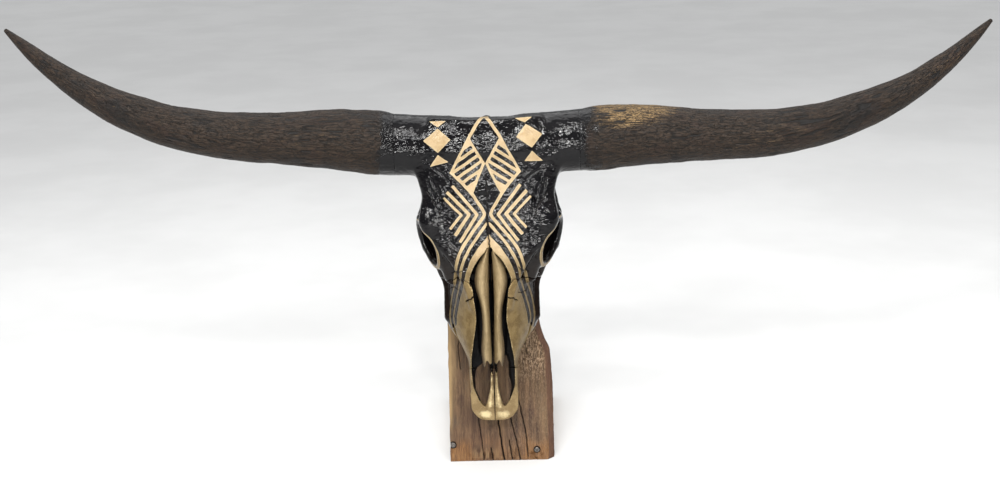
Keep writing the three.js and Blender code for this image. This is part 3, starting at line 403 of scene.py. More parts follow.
def largest(v, q):
    """Only the biggest connected shell of a quad mesh."""
    lab = np.arange(len(v))
    while True:
        low = lab[q].min(1)
        new = lab.copy()
        for k in range(4):
            np.minimum.at(new, q[:, k], low)
        new = new[new]
        if (new == lab).all():
            break
        lab = new
    names, count = np.unique(lab, return_counts=True)
    keep = lab == names[count.argmax()]
    q = q[keep[q[:, 0]]]
    num = np.cumsum(keep) - 1
    return v[keep], num[q]


def normals(v, q):
    n = np.zeros_like(v)
    f = np.cross(v[q[:, 2]] - v[q[:, 0]], v[q[:, 3]] - v[q[:, 1]])
    for k in range(4):
        for a in range(3):
            n[:, a] += np.bincount(q[:, k], f[:, a], len(v))
    return n / np.maximum(np.linalg.norm(n, axis=1, keepdims=True), 1e-12)


def relax(v, q, turns=1, keep=0.5):
    """Evens the vertices out a little, keeping the form."""
    n = np.zeros(len(v))
    for k in range(4):
        n += np.bincount(q[:, k], minlength=len(v))
    for t in range(turns):
        for amount in (keep, -keep * 1.04):
            s = np.zeros_like(v)
            for k in range(4):
                for a in range(3):
                    s[:, a] += np.bincount(q[:, k], v[q[:, (k + 1) % 4], a] + v[q[:, (k - 1) % 4], a], len(v))
            s /= np.maximum(2 * n, 1)[:, None]
            v = v + (s - v) * amount
    return v


made = []


def piece(name, world_mm, quads, node, slot, material, flat=None, **attrs):
    """A mesh object from points in mm in the row frame, standing for a node of the frame."""
    me = bpy.data.meshes.new(name)
    v = np.asarray(world_mm, np.float32) / 1000.0
    q = np.asarray(quads, np.int32)
    me.vertices.add(len(v))
    me.vertices.foreach_set("co", v.ravel())
    me.loops.add(q.size)
    me.loops.foreach_set("vertex_index", q.ravel())
    me.polygons.add(len(q))
    me.polygons.foreach_set("loop_start", np.arange(0, q.size, q.shape[1], dtype=np.int32))
    me.polygons.foreach_set("use_smooth", np.ones(len(q), bool) if flat is None else ~flat)
    me.update(calc_edges=True)
    me.validate()
    for key, val in attrs.items():
        val = np.asarray(val, np.float32)
        if val.ndim == 1:
            a = me.attributes.new(key, "FLOAT", "POINT")
            a.data.foreach_set("value", val)
        else:
            a = me.attributes.new(key, "FLOAT_VECTOR", "POINT")
            a.data.foreach_set("vector", val.ravel())
    ob = bpy.data.objects.new(name, me)
    bpy.context.scene.collection.objects.link(ob)
    me.materials.append(material)
    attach(ob, "root")
    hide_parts(node)
    made.append(ob)
    return ob


# ------------------------------------------------------------------ node helpers
class Nodes:
    def __init__(self, name):
        self.mat = bpy.data.materials.new(name)
        self.mat.use_nodes = True
        self.t = self.mat.node_tree
        self.t.nodes.clear()
        self.out = self.t.nodes.new("ShaderNodeOutputMaterial")
        self.bsdf = self.t.nodes.new("ShaderNodeBsdfPrincipled")
        self.t.links.new(self.bsdf.outputs[0], self.out.inputs[0])

    def put(self, sock, val):
        if isinstance(val, bpy.types.NodeSocket):
            self.t.links.new(val, sock)
        elif isinstance(val, (tuple, list)) and sock.type == "RGBA" and len(val) == 3:
            sock.default_value = (*val, 1)
        else:
            sock.default_value = val

    def attr(self, name, vector=False):
        n = self.t.nodes.new("ShaderNodeAttribute")
        n.attribute_name = name
        return n.outputs["Vector" if vector else "Fac"]

    def scale(self, vec, by):
        n = self.t.nodes.new("ShaderNodeVectorMath")
        n.operation = "MULTIPLY"
        self.put(n.inputs[0], vec)
        n.inputs[1].default_value = by
        return n.outputs[0]

    def add(self, a, b):
        n = self.t.nodes.new("ShaderNodeVectorMath")
        n.operation = "ADD"
        self.put(n.inputs[0], a)
        self.put(n.inputs[1], b)
        return n.outputs[0]

    def noise(self, vec, scale, detail=3, rough=0.55, lac=2.1, color=False, dist=0.0):
        n = self.t.nodes.new("ShaderNodeTexNoise")
        self.put(n.inputs["Vector"], vec)
        n.inputs["Scale"].default_value = scale
        n.inputs["Detail"].default_value = detail
        n.inputs["Roughness"].default_value = rough
        n.inputs["Lacunarity"].default_value = lac
        n.inputs["Distortion"].default_value = dist
        return n.outputs["Color" if color else "Fac"]

    def voronoi(self, vec, scale, feature="F1", rnd=1.0):
        n = self.t.nodes.new("ShaderNodeTexVoronoi")
        n.feature = feature
        self.put(n.inputs["Vector"], vec)
        n.inputs["Scale"].default_value = scale
        n.inputs["Randomness"].default_value = rnd
        return n.outputs["Distance"]

    def math(self, op, a, b=0.0, c=None, clamp=False):
        n = self.t.nodes.new("ShaderNodeMath")
        n.operation = op
        n.use_clamp = clamp
        self.put(n.inputs[0], a)
        self.put(n.inputs[1], b)
        if c is not None:
            self.put(n.inputs[2], c)
        return n.outputs[0]

    def step(self, x, a, b, lo=0.0, hi=1.0):
        n = self.t.nodes.new("ShaderNodeMapRange")
        n.interpolation_type = "SMOOTHSTEP"
        self.put(n.inputs[0], x)
        for i, q in enumerate((a, b, lo, hi)):
            n.inputs[i + 1].default_value = q
        return n.outputs[0]

    def mix(self, a, b, t, how="MIX"):
        n = self.t.nodes.new("ShaderNodeMix")
        n.data_type = "RGBA"
        n.blend_type = how
        self.put(n.inputs[0], t)
        self.put(n.inputs[6], a)
        self.put(n.inputs[7], b)
        return n.outputs[2]

    def lerp(self, a, b, t):
        n = self.t.nodes.new("ShaderNodeMix")
        n.data_type = "FLOAT"
        self.put(n.inputs[0], t)
        self.put(n.inputs[2], a)
        self.put(n.inputs[3], b)
        return n.outputs[0]

    def bump(self, height, dist, strength=1.0, under=None):
        n = self.t.nodes.new("ShaderNodeBump")
        n.inputs["Strength"].default_value = strength
        n.inputs["Distance"].default_value = dist
        self.put(n.inputs["Height"], height)
        if under is not None:
            self.put(n.inputs["Normal"], under)
        return n.outputs[0]

    def end(self, color, rough, normal=None, **fixed):
        self.put(self.bsdf.inputs["Base Color"], color)
        self.put(self.bsdf.inputs["Roughness"], rough)
        if normal is not None:
            self.put(self.bsdf.inputs["Normal"], normal)
        for k, q in fixed.items():
            self.put(self.bsdf.inputs[k.replace("_", " ")], q)
        return self.mat


# ------------------------------------------------------------------ materials
def enamel_and_gold(name, shine):
    """Glossy black enamel brushed thickly on bone, with the tan-gold painted figures."""
    m = Nodes(name)
    pos = m.attr("sk", True)
    gold = m.attr("gold")
    crk = m.attr("crk")
    low = m.attr("low")
    wear = m.attr("wear")
    hollow = m.attr("hollow")
    wob = m.noise(pos, 0.35, 3, 0.6)
    edge = m.math("ADD", gold, m.math("MULTIPLY", m.math("SUBTRACT", wob, 0.5), 0.55))
    g = m.step(edge, -0.10, 0.14)
    # gold: warm and bright high on the face, duller and browner low down, which is painted shade of the lower face; the
    # eye-socket rims out at the sides take the same duller gold
    fine = m.noise(pos, 0.9, 4, 0.65)
    broad = m.noise(pos, 0.06, 3, 0.6)
    warm = m.mix((0.405, 0.297, 0.167), (0.335, 0.236, 0.124), m.step(broad, 0.40, 0.62))
    warm = m.mix(warm, (0.53, 0.425, 0.262), m.step(fine, 0.54, 0.76))
    dull = m.mix((0.185, 0.130, 0.058), (0.128, 0.086, 0.037), m.step(broad, 0.40, 0.62))
    dull = m.mix(dull, (0.290, 0.215, 0.108), m.step(fine, 0.56, 0.76))
    goldc = m.mix(warm, dull, m.math("MAXIMUM", low, m.attr("rimd")))
    rimmed = m.math("MULTIPLY", m.step(gold, 1.35, 0.25), m.step(m.noise(pos, 0.5, 3, 0.6), 0.30, 0.60))
    goldc = m.mix(goldc, m.mix((0.60, 0.515, 0.31), (0.30, 0.25, 0.145), low), m.math("MULTIPLY", rimmed, 0.55))
    # painted highlight: pale cream mixed into the gold on the palatine processes and the premaxillae
    cream_highlight = m.math("ADD", m.attr("cream_highlight"), m.math("MULTIPLY", m.math("SUBTRACT", m.noise(pos, 0.11, 4, 0.6), 0.5), 1.0))
    goldc = m.mix(goldc, (0.66, 0.54, 0.31), m.math("MULTIPLY", m.step(cream_highlight, 0.40, 0.95), 0.85))
    # worn edges of bone show pale through thin gold
    chip = m.step(m.math("ADD", wear, m.math("MULTIPLY", m.math("SUBTRACT", m.noise(pos, 0.5, 4, 0.7), 0.5), 1.6)), 0.66, 0.86)
    goldc = m.mix(goldc, (0.74, 0.58, 0.33), m.math("MULTIPLY", chip, 0.7))
    # specks of black that fell on the gold, and gold dust on the black
    speck = m.step(m.voronoi(pos, 0.16), 0.060, 0.035)
    goldc = m.mix(goldc, (0.02, 0.015, 0.012), m.math("MULTIPLY", speck, 0.85))
    black = m.mix((0.0020, 0.0018, 0.0024), (0.0042, 0.0036, 0.0041), m.step(broad, 0.42, 0.66))
    black = m.mix(black, (0.0075, 0.0045, 0.0032), low)
    dust = m.step(m.noise(pos, 1.6, 4, 0.7), 0.64, 0.82)
    black = m.mix(black, (0.030, 0.025, 0.020), m.math("MULTIPLY", dust, 0.12))
    rub = m.step(m.math("ADD", wear, m.math("MULTIPLY", m.math("SUBTRACT", m.noise(pos, 0.4, 4, 0.7), 0.5), 1.5)), 0.92, 1.08)
    black = m.mix(black, (0.24, 0.175, 0.10), m.math("MULTIPLY", rub, 0.35))
    col = m.mix(black, goldc, g)
    line = m.step(m.math("ADD", crk, m.math("MULTIPLY", m.math("SUBTRACT", m.noise(pos, 0.7, 3, 0.6), 0.5), 0.8)), 0.85, 0.35)
    col = m.mix(col, (0.008, 0.0055, 0.0045), m.math("MULTIPLY", line, 0.95))
    # painted shade: near-black colour, and a matte finish, in the hollows of the nose, the eye sockets and underneath
    col = m.mix(col, (0.0045, 0.0040, 0.0042), hollow)
    # gloss: the enamel lies in lumps, the gold is satin
    lump = m.noise(m.scale(pos, (0.8, 1.15, 1.0)), 0.125, 2, 0.42)
    fineb = m.noise(pos, 0.42, 2, 0.5)
    brush = m.noise(m.scale(pos, (0.25, 1.0, 1.0)), 1.1, 3, 0.55)
    hb = m.math("ADD", m.math("MULTIPLY", lump, 1.0), m.math("MULTIPLY", fineb, 0.10))
    hg = m.math("ADD", m.math("MULTIPLY", lump, 0.45), m.math("MULTIPLY", brush, 0.14))
    height = m.lerp(hb, hg, g)
    height = m.math("ADD", height, m.math("MULTIPLY", m.step(edge, -0.5, 0.3), 0.10))
    height = m.math("SUBTRACT", height, m.math("MULTIPLY", line, 0.5))
    nor = m.bump(height, 0.00145, 1.0)
    rb = m.step(m.noise(pos, 0.12, 3, 0.6), 0.35, 0.75, 0.05, 0.10)
    rg = m.lerp(0.24, 0.36, low)
    rough = m.lerp(rb, rg, g)
    rough = m.lerp(rough, 0.55, hollow)
    rough = m.lerp(rough, 0.7, line)
    metal = m.math("MULTIPLY", m.math("MULTIPLY", g, low), 0.40)
    return m.end(col, rough, nor, Specular_IOR_Level=shine, Metallic=metal)


def nasal_gold():
    m = Nodes("gold_paint")
    pos = m.attr("sk", True)
    wear = m.attr("wear")
    hollow = m.attr("hollow")
    fine = m.noise(m.scale(pos, (1.0, 0.22, 1.0)), 0.8, 4, 0.65)
    broad = m.noise(m.scale(pos, (1.0, 0.35, 1.0)), 0.07, 3, 0.6)
    col = m.mix((0.270, 0.197, 0.100), (0.187, 0.131, 0.062), m.step(broad, 0.40, 0.62))
    col = m.mix(col, (0.420, 0.325, 0.180), m.step(fine, 0.52, 0.76))
    # painted shade: the sides, the inner edge and the lower ends of each nasal bone are darkened, where the rounded
    # bone turns from the light
    side = m.attr("side")
    col = m.mix(col, (0.072, 0.045, 0.022), m.math("MULTIPLY", side, 0.85))
    chip = m.step(m.math("ADD", wear, m.math("MULTIPLY", m.math("SUBTRACT", m.noise(pos, 0.5, 4, 0.7), 0.5), 1.5)), 0.66, 0.90)
    col = m.mix(col, (0.62, 0.48, 0.27), m.math("MULTIPLY", chip, 0.6))
    pit = m.step(m.noise(m.scale(pos, (1.0, 0.35, 1.0)), 1.5, 3, 0.6), 0.34, 0.26)
    col = m.mix(col, (0.09, 0.058, 0.028), m.math("MULTIPLY", pit, 0.6))
    # painted shade: the faces of the nasal bones that turn back from the front are coloured near-black
    col = m.mix(col, (0.007, 0.0055, 0.005), hollow)
    h = m.math("ADD", fine, m.math("MULTIPLY", m.noise(pos, 0.25, 2, 0.5), 0.8))
    nor = m.bump(h, 0.00055, 1.0)
    rough = m.step(fine, 0.3, 0.7, 0.34, 0.50)
    return m.end(col, rough, nor, Specular_IOR_Level=0.45, Metallic=0.40)


def horn_stuff():
    """Old weathered horn: dark, scaly, split along its length, with flakes of tan."""
    m = Nodes("horn")
    gr = m.attr("gr", True)
    base = m.attr("base")
    tan = m.attr("tan")
    cut = m.attr("cut")
    warp = m.noise(m.scale(gr, (1, 1, 0.4)), 0.10, 3, 0.6, color=True)
    p = m.add(gr, m.scale(warp, (6.0, 6.0, 14.0)))
    cells = m.voronoi(m.scale(p, (1, 1, 0.24)), 0.34, "DISTANCE_TO_EDGE")
    cells2 = m.voronoi(m.add(m.scale(p, (1, 1, 0.30)), (13.0, 4.0, 9.0)), 0.62, "DISTANCE_TO_EDGE")
    long1 = m.noise(m.scale(gr, (1, 1, 0.26)), 0.36, 5, 0.72)
    long2 = m.noise(m.scale(gr, (1, 1, 0.30)), 0.95, 4, 0.7)
    streak = m.noise(m.scale(gr, (1, 1, 0.07)), 0.42, 4, 0.65)
    broad = m.noise(m.scale(gr, (1, 1, 0.55)), 0.020, 4, 0.62)
    broad2 = m.noise(m.add(m.scale(gr, (1, 1, 0.6)), (90.0, 30.0, 10.0)), 0.030, 3, 0.62)
    col = m.mix((0.019, 0.0145, 0.0115), (0.072, 0.050, 0.034), m.step(long1, 0.36, 0.62))
    col = m.mix(col, (0.058, 0.034, 0.026), m.math("MULTIPLY", m.step(broad2, 0.52, 0.64), 0.5))
    col = m.mix(col, (0.014, 0.0135, 0.0145), m.math("MULTIPLY", m.step(broad, 0.53, 0.66), 0.8))
    col = m.mix(col, (0.175, 0.130, 0.088), m.math("MULTIPLY", m.step(long2, 0.56, 0.72), 0.72))
    col = m.mix(col, (0.44, 0.395, 0.355), 1.0, "MULTIPLY")
    tn = m.step(m.math("ADD", tan, m.math("MULTIPLY", m.math("SUBTRACT", streak, 0.5), 1.5)), 0.45, 0.85)
    flake = m.step(long2, 0.44, 0.60)
    col = m.mix(col, m.mix((0.070, 0.044, 0.020), (0.33, 0.215, 0.095), flake), m.math("MULTIPLY", tn, 0.85))
    gap = m.math("ADD", cells, m.math("MULTIPLY", m.math("SUBTRACT", long1, 0.45), 0.30))
    d1 = m.step(gap, 0.070, 0.015)
    d2 = m.step(m.math("ADD", cells2, m.math("MULTIPLY", m.math("SUBTRACT", streak, 0.42), 0.45)), 0.060, 0.015)
    dark = m.math("MAXIMUM", m.math("MULTIPLY", d1, 0.92), m.math("MULTIPLY", d2, 0.8))
    dark = m.math("MAXIMUM", dark, m.math("MULTIPLY", m.step(streak, 0.37, 0.31), 0.85))
    dark = m.math("MAXIMUM", dark, cut)
    col = m.mix(col, (0.0055, 0.0045, 0.004), dark)
    paint = m.step(m.math("ADD", base, m.math("MULTIPLY", m.math("SUBTRACT", long1, 0.5), 1.5)), 0.42, 0.66)
    col = m.mix(col, (0.0030, 0.0027, 0.0032), paint)
    h = m.math("ADD", m.math("MULTIPLY", long1, 0.8), m.math("MULTIPLY", long2, 0.45))
    h = m.math("SUBTRACT", h, m.math("MULTIPLY", dark, 0.8))
    pos = m.attr("sk", True)
    lump = m.math("ADD", m.noise(m.scale(pos, (0.8, 1.15, 1.0)), 0.125, 2, 0.42), m.math("MULTIPLY", m.noise(pos, 0.42, 2, 0.5), 0.10))
    h = m.lerp(h, m.math("ADD", m.math("MULTIPLY", lump, 1.2), m.math("MULTIPLY", h, 0.06)), paint)
    nor = m.bump(h, 0.0012, 1.0)
    rough = m.step(long2, 0.3, 0.7, 0.44, 0.64)
    rough = m.lerp(rough, 0.09, paint)
    return m.end(col, rough, nor, Specular_IOR_Level=0.24)


def old_wood():
    m = Nodes("reclaimed_wood")
    gr = m.attr("gr", True)
    tone = m.attr("tone")
    red = m.attr("red")
    crk = m.attr("crk")
    warp = m.noise(gr, 0.012, 3, 0.6, color=True)
    p = m.add(gr, m.scale(warp, (9.0, 0.0, 9.0)))
    ring = m.noise(m.scale(p, (1, 0.022, 1)), 0.19, 5, 0.62)
    fibre = m.noise(m.scale(p, (1, 0.035, 1)), 0.95, 4, 0.65)
    hair = m.noise(m.scale(p, (1, 0.03, 1)), 2.6, 3, 0.6)
    blot = m.noise(m.scale(gr, (1, 0.45, 1)), 0.035, 4, 0.62)
    col = m.mix((0.040, 0.023, 0.0145), (0.150, 0.092, 0.054), m.step(ring, 0.32, 0.66))
    col = m.mix(col, (0.235, 0.165, 0.108), m.math("MULTIPLY", m.step(fibre, 0.52, 0.70), 0.62))
    col = m.mix(col, (0.028, 0.017, 0.013), m.math("MULTIPLY", m.step(fibre, 0.45, 0.31), 0.85))
    col = m.mix(col, (0.050, 0.025, 0.021), m.math("MULTIPLY", m.step(blot, 0.54, 0.68), 0.6))
    col = m.mix(col, (0.105, 0.080, 0.058), m.math("MULTIPLY", m.step(blot, 0.46, 0.32), 0.5))
    col = m.mix(col, (0.40, 0.285, 0.155), m.math("MULTIPLY", m.math("SUBTRACT", tone, 0.5, clamp=True), 1.5))
    col = m.mix(col, (0.024, 0.015, 0.0125), m.math("MULTIPLY", m.math("SUBTRACT", 0.5, tone, clamp=True), 1.7))
    col = m.mix(col, m.mix((0.060, 0.026, 0.017), (0.165, 0.085, 0.055), m.step(fibre, 0.4, 0.7)), m.math("MULTIPLY", red, 0.85))
    orange = m.attr("orange")
    col = m.mix(col, m.mix((0.115, 0.052, 0.020), (0.30, 0.155, 0.062), m.step(fibre, 0.38, 0.68)), m.math("MULTIPLY", orange, 0.8))
    mott = m.attr("mott")
    cells = m.noise(m.scale(gr, (1, 0.42, 1)), 0.42, 4, 0.72, dist=0.6)
    col = m.mix(col, (0.44, 0.32, 0.23), m.math("MULTIPLY", m.math("MULTIPLY", m.step(cells, 0.47, 0.60), mott), 0.80))
    col = m.mix(col, (0.030, 0.018, 0.014), m.math("MULTIPLY", m.math("MULTIPLY", m.step(cells, 0.42, 0.34), mott), 0.75))
    line = m.step(m.math("ADD", crk, m.math("MULTIPLY", m.math("SUBTRACT", m.noise(gr, 0.5, 3, 0.6), 0.5), 0.9)), 0.95, 0.30)
    hairline = m.math("MULTIPLY", m.step(hair, 0.32, 0.23), 0.8)
    col = m.mix(col, (0.0065, 0.0045, 0.0035), m.math("MAXIMUM", line, hairline))
    col = m.mix(col, (0.90, 0.86, 0.76), 1.0, "MULTIPLY")
    h = m.math("ADD", m.math("MULTIPLY", ring, 0.6), m.math("MULTIPLY", fibre, 0.7))
    h = m.math("ADD", h, m.math("MULTIPLY", m.math("MULTIPLY", cells, mott), 1.6))
    h = m.math("SUBTRACT", h, m.math("MULTIPLY", m.math("MAXIMUM", line, hairline), 0.6))
    nor = m.bump(h, 0.0013, 1.0)
    rough = m.step(fibre, 0.3, 0.7, 0.58, 0.84)
    return m.end(col, rough, nor, Specular_IOR_Level=0.30)


def stand_wood():
    m = Nodes("stand_wood")
    gr = m.attr("gr", True)
    warp = m.noise(gr, 0.010, 2, 0.5, color=True)
    p = m.add(gr, m.scale(warp, (14.0, 0.0, 14.0)))
    ring = m.noise(m.scale(p, (1, 0.03, 1)), 0.11, 4, 0.6)
    fibre = m.noise(m.scale(p, (1, 0.03, 1)), 1.1, 4, 0.65)
    blot = m.noise(m.scale(gr, (1, 0.4, 1)), 0.02, 3, 0.6)
    col = m.mix((0.20, 0.118, 0.060), (0.36, 0.235, 0.130), m.step(ring, 0.34, 0.64))
    col = m.mix(col, (0.45, 0.32, 0.19), m.math("MULTIPLY", m.step(fibre, 0.52, 0.72), 0.5))
    col = m.mix(col, (0.13, 0.075, 0.04), m.math("MULTIPLY", m.step(fibre, 0.44, 0.30), 0.6))
    col = m.mix(col, (0.17, 0.12, 0.085), m.math("MULTIPLY", m.step(blot, 0.52, 0.70), 0.5))
    h = m.math("ADD", m.math("MULTIPLY", ring, 0.4), m.math("MULTIPLY", fibre, 0.6))
    nor = m.bump(h, 0.0006, 1.0)
    return m.end(col, m.step(fibre, 0.3, 0.7, 0.5, 0.72), nor, Specular_IOR_Level=0.4)


def steel():
    m = Nodes("screw_steel")
    gr = m.attr("gr", True)
    n1 = m.noise(gr, 0.8, 4, 0.6)
    n2 = m.noise(gr, 3.0, 3, 0.6)
    col = m.mix((0.22, 0.205, 0.19), (0.10, 0.088, 0.078), m.step(n1, 0.4, 0.65))
    rust = m.step(m.noise(gr, 0.45, 5, 0.7), 0.56, 0.70)
    col = m.mix(col, (0.16, 0.065, 0.03), m.math("MULTIPLY", rust, 0.75))
    rough = m.lerp(m.step(n2, 0.3, 0.7, 0.22, 0.42), 0.8, m.math("MULTIPLY", rust, 0.6))
    metal = m.math("SUBTRACT", 1.0, m.math("MULTIPLY", rust, 0.6))
    return m.end(col, rough, m.bump(n2, 0.00012, 1.0), Metallic=metal)


PAINT, MUZZLE = enamel_and_gold("painted_bone", 0.25), enamel_and_gold("painted_muzzle", 0.10)
GOLD, HORN, OLD, PLAIN, ZINC = nasal_gold(), horn_stuff(), old_wood(), stand_wood(), steel()

# ------------------------------------------------------------------ the camera
az, el, roll = math.radians(0.97), math.radians(16.7), math.radians(-1.72)
back = np.array([math.sin(az) * math.cos(el), -math.cos(az) * math.cos(el), math.sin(el)])
right = np.array([math.cos(az), math.sin(az), 0])
up = np.cross(back, right)
X = right * math.cos(roll) + up * math.sin(roll)
Y = -right * math.sin(roll) + up * math.cos(roll)
eye = np.array([-4.6, -62.45, 368.3]) / 1000 + back * 2.4
cam = bpy.data.cameras.new("view")
cam.sensor_fit = "HORIZONTAL"
cam.sensor_width = 36.0
cam.lens = 1436 / 1000 * 36
cam.clip_start, cam.clip_end = 0.05, 60
camera = bpy.data.objects.new("view", cam)
camera.matrix_world = Matrix(
    [[X[0], Y[0], back[0], eye[0]], [X[1], Y[1], back[1], eye[1]], [X[2], Y[2], back[2], eye[2]], [0, 0, 0, 1]]
)
bpy.context.scene.collection.objects.link(camera)
bpy.context.scene.camera = camera


# ------------------------------------------------------------------ painted figures
def segments(x, v, pts, w=None):
    """Distance from points to an open line through pts, in 2-D, or in 3-D with w."""
    best = np.full(len(x), 1e9)
    for a, b in zip(pts[:-1], pts[1:]):
        e = [b[i] - a[i] for i in range(len(a))]
        p = [x - a[0], v - a[1]] + ([w - a[2]] if w is not None else [])
        t = np.clip(sum(i * j for i, j in zip(p, e)) / sum(i * i for i in e), 0, 1)
        best = np.minimum(best, np.sqrt(sum((i - t * j) ** 2 for i, j in zip(p, e))))
    return best


def ribbon(x, v, pts, half):
    """A stripe of even width through pts, its two ends cut square."""
    out = half - segments(x, v, pts)
    for a, b in ((pts[0], pts[1]), (pts[-1], pts[-2])):
        e = np.array([b[0] - a[0], b[1] - a[1]])
        e /= np.linalg.norm(e)
        out = np.minimum(out, np.where((x - a[0]) ** 2 + (v - a[1]) ** 2 < 100, (x - a[0]) * e[0] + (v - a[1]) * e[1], 9))
    return out


def polygon(x, v, pts):
    """Signed distance, positive inside a closed 2-D outline."""
    d = segments(x, v, list(pts) + [pts[0]])
    inside = np.zeros(len(x), bool)
    for (ax_, ay), (bx, by) in zip(pts, list(pts[1:]) + [pts[0]]):
        cross = (ay > v) != (by > v)
        t = (bx - ax_) * (v - ay) / (by - ay if by != ay else 1e-9) + ax_
        inside ^= cross & (x < t)
    return np.where(inside, d, -d)


def smooth_line(pts, n=8):
    """A rounded line through pts."""
    p = np.array(pts, float)
    q = np.vstack([2 * p[0] - p[1], p, 2 * p[-1] - p[-2]])
    out = []
    for i in range(1, len(q) - 2):
        for t in np.arange(n) / n:
            a, b, c, d = q[i - 1], q[i], q[i + 1], q[i + 2]
            out.append(0.5 * (2 * b + (c - a) * t + (2 * a - 5 * b + 4 * c - d) * t * t + (3 * b - a - 3 * c + d) * t**3))
    out.append(p[-1])
    return np.array(out)


def drop(line):
    """Lays a line given by (x, v) on the front of the bone: adds its height w."""
    out = []
    for x, v in line:
        w = np.linspace(14, -100, 229).astype(np.float32)
        d = bones(np.full_like(w, abs(x)), np.full_like(w, v), w)
        k = np.argmax(d < 0) if (d < 0).any() else len(w) - 1
        out.append((x, v, float(w[k])))
    return out


# the diamond's corners, one side: top, inner, bottom, outer
DIAMOND = [(25.8, 33.0), (0.0, 77.8), (22.8, 128.5), (57.5, 92.0)]
BORDER, BAR, PITCH, BAR_SLOPE = 4.2, 3.05, 10.8, math.radians(33.5)
CHEVRONS = [
    ([(70.3, 132.0), (42.3, 160.0), (61.7, 182.5)], 2.05),
    ([(64.1, 122.6), (29.4, 159.6), (54.5, 193.1)], 2.6),
    ([(54.7, 112.8), (16.8, 160.3), (47.4, 204.0)], 2.45),
]
SQUARE_R = [(-77.2, 20.4), (-56.8, 38.8), (-77.9, 59.2), (-101.2, 39.8)]  # steer's right
SQUARE_L = [(63.8, 16.2), (89.4, 33.0), (72.4, 54.8), (47.6, 36.8)]
TRIANGLES = [
    [(-91.6, 8.6), (-63.6, 8.6), (-77.0, 18.2)],
    [(-78.4, 62.6), (-61.6, 74.4), (-92.0, 81.6)],
    [(46.4, 6.6), (74.4, 5.0), (62.0, 14.0)],
    [(72.6, 59.6), (90.0, 76.0), (60.2, 76.0)],
]
STRIPE_1 = smooth_line([(53.0, 92.6), (39.0, 107.6), (24.0, 126.2), (14.8, 141.2), (6.6, 155.0), (6.9, 164.0), (26.0, 188.0), (44.5, 214.7), (54.0, 240.0), (60.0, 275.5), (67.5, 306.5), (70.6, 335.0), (68.6, 350.0), (65.0, 361.0)])
STRIPE_2 = smooth_line([(2.0, 175.0), (16.2, 192.5), (31.0, 213.0), (41.5, 232.8), (47.2, 249.0), (50.0, 271.0), (58.0, 303.3), (64.0, 333.0), (62.5, 350.0)])
BAND = [(190, 0.0), (196.3, 3.0), (213.7, 18.6), (234.0, 31.6), (253.3, 39.0), (268.0, 42.6), (285.0, 46.6), (301.3, 52.0), (331.5, 58.6), (346.0, 59.5), (356.0, 66.0), (368.0, 90.0)]
stripe1, stripe2 = drop(STRIPE_1), drop(STRIPE_2)


def midline(v):
    return -2.9 + 1.6 * sstep(v, 95, 135) + 1.6 * sstep(v, 165, 205)


def painted(x, v, w, cav, oc):
    """How far inside the gold figures a point of the bone lies, in mm."""
    p = np.stack([x, v, w], 1)
    x = x + 0.35 * vnoise(p / 9.0, 3)
    v = v + 0.35 * vnoise(p / 9.0, 4)
    xm = np.abs(x - midline(v))
    g = np.full(len(x), -50.0)
    top = (w > -34) & (v < 262)
    X_, V_ = xm[top], v[top]
    arch = 2.5 - segments(X_, V_, smooth_line([(0.2, -6.0), (0.9, 1.5), (3.6, 4.6), (9.6, 11.6), (16.0, 21.4), (22.6, 32.0), (24.6, 36.0)]).tolist())
    a = polygon(X_, V_, DIAMOND)
    n = -math.sin(BAR_SLOPE) * X_ + math.cos(BAR_SLOPE) * V_
    k = (n - 31.5) / PITCH
    bars = BAR - np.abs(k - np.clip(np.round(k), 0, 4)) * PITCH
    a = np.minimum(a, -np.minimum(bars, a - BORDER))
    a = np.maximum(a, arch)
    for line, half in CHEVRONS:
        a = np.maximum(a, ribbon(X_, V_, line, half))
    xs = x[top]
    for q in (SQUARE_R, SQUARE_L, *TRIANGLES):
        a = np.maximum(a, polygon(xs, V_, q))
    g[top] = np.maximum(g[top], a)
    near = (v > 100) & (v < 372) & (w > -92)
    Xn, Vn, Wn = xm[near], v[near], w[near]
    s1 = 2.5 - segments(Xn, Vn, stripe1, Wn)
    s2 = 2.35 - segments(Xn, Vn, stripe2, Wn)
    g[near] = np.maximum(g[near], np.maximum(s1, s2))
    tab = [(q[0], q[1]) for q in BAND]
    inner = np.interp(v, [q[0] for q in tab], [q[1] for q in tab]) - xm
    inner = np.minimum(inner, v - 192.5)
    inner = np.minimum(inner, w + 88 + 30 * sstep(v, 360, 400))
    g = np.maximum(g, inner)
    # the rim of each eye socket carries a thin line
    n = np.array([0.90, 0.30, 0.33])
    n /= np.linalg.norm(n)
    t1 = np.array([0, 0, 1.0]) - n[2] * n
    t1 /= np.linalg.norm(t1)
    t2 = np.cross(n, t1)
    at = (np.abs(x) > 66) & (v > 148) & (v < 264) & (w > -110)
    if at.any():
        e = np.stack([np.abs(x[at]) - 98, v[at] - 208, w[at] + 54], 1)
        out_, b_, c_ = e @ n, e @ t1, e @ t2
        rad = np.sqrt((b_ / 40) ** 2 + (c_ / 42) ** 2) * 41
        ang = np.degrees(np.arctan2(c_, b_))
        rim = 3.4 - np.abs(rad - 42.6)
        rim = np.minimum(rim, np.minimum(out_ + 3, 26 - out_))
        rim = np.minimum(rim, np.minimum(ang + 128, 92 - ang) * 0.7)
        g[at] = np.maximum(g[at], rim)
    tips = np.minimum(np.minimum(v - 436.0 - 3 * np.sin(x * 2.1), 24 - np.abs(x)), w + 97.5)
    return np.maximum(np.minimum(g, (cav - 0.6) * 1.5), tips * 1.2)


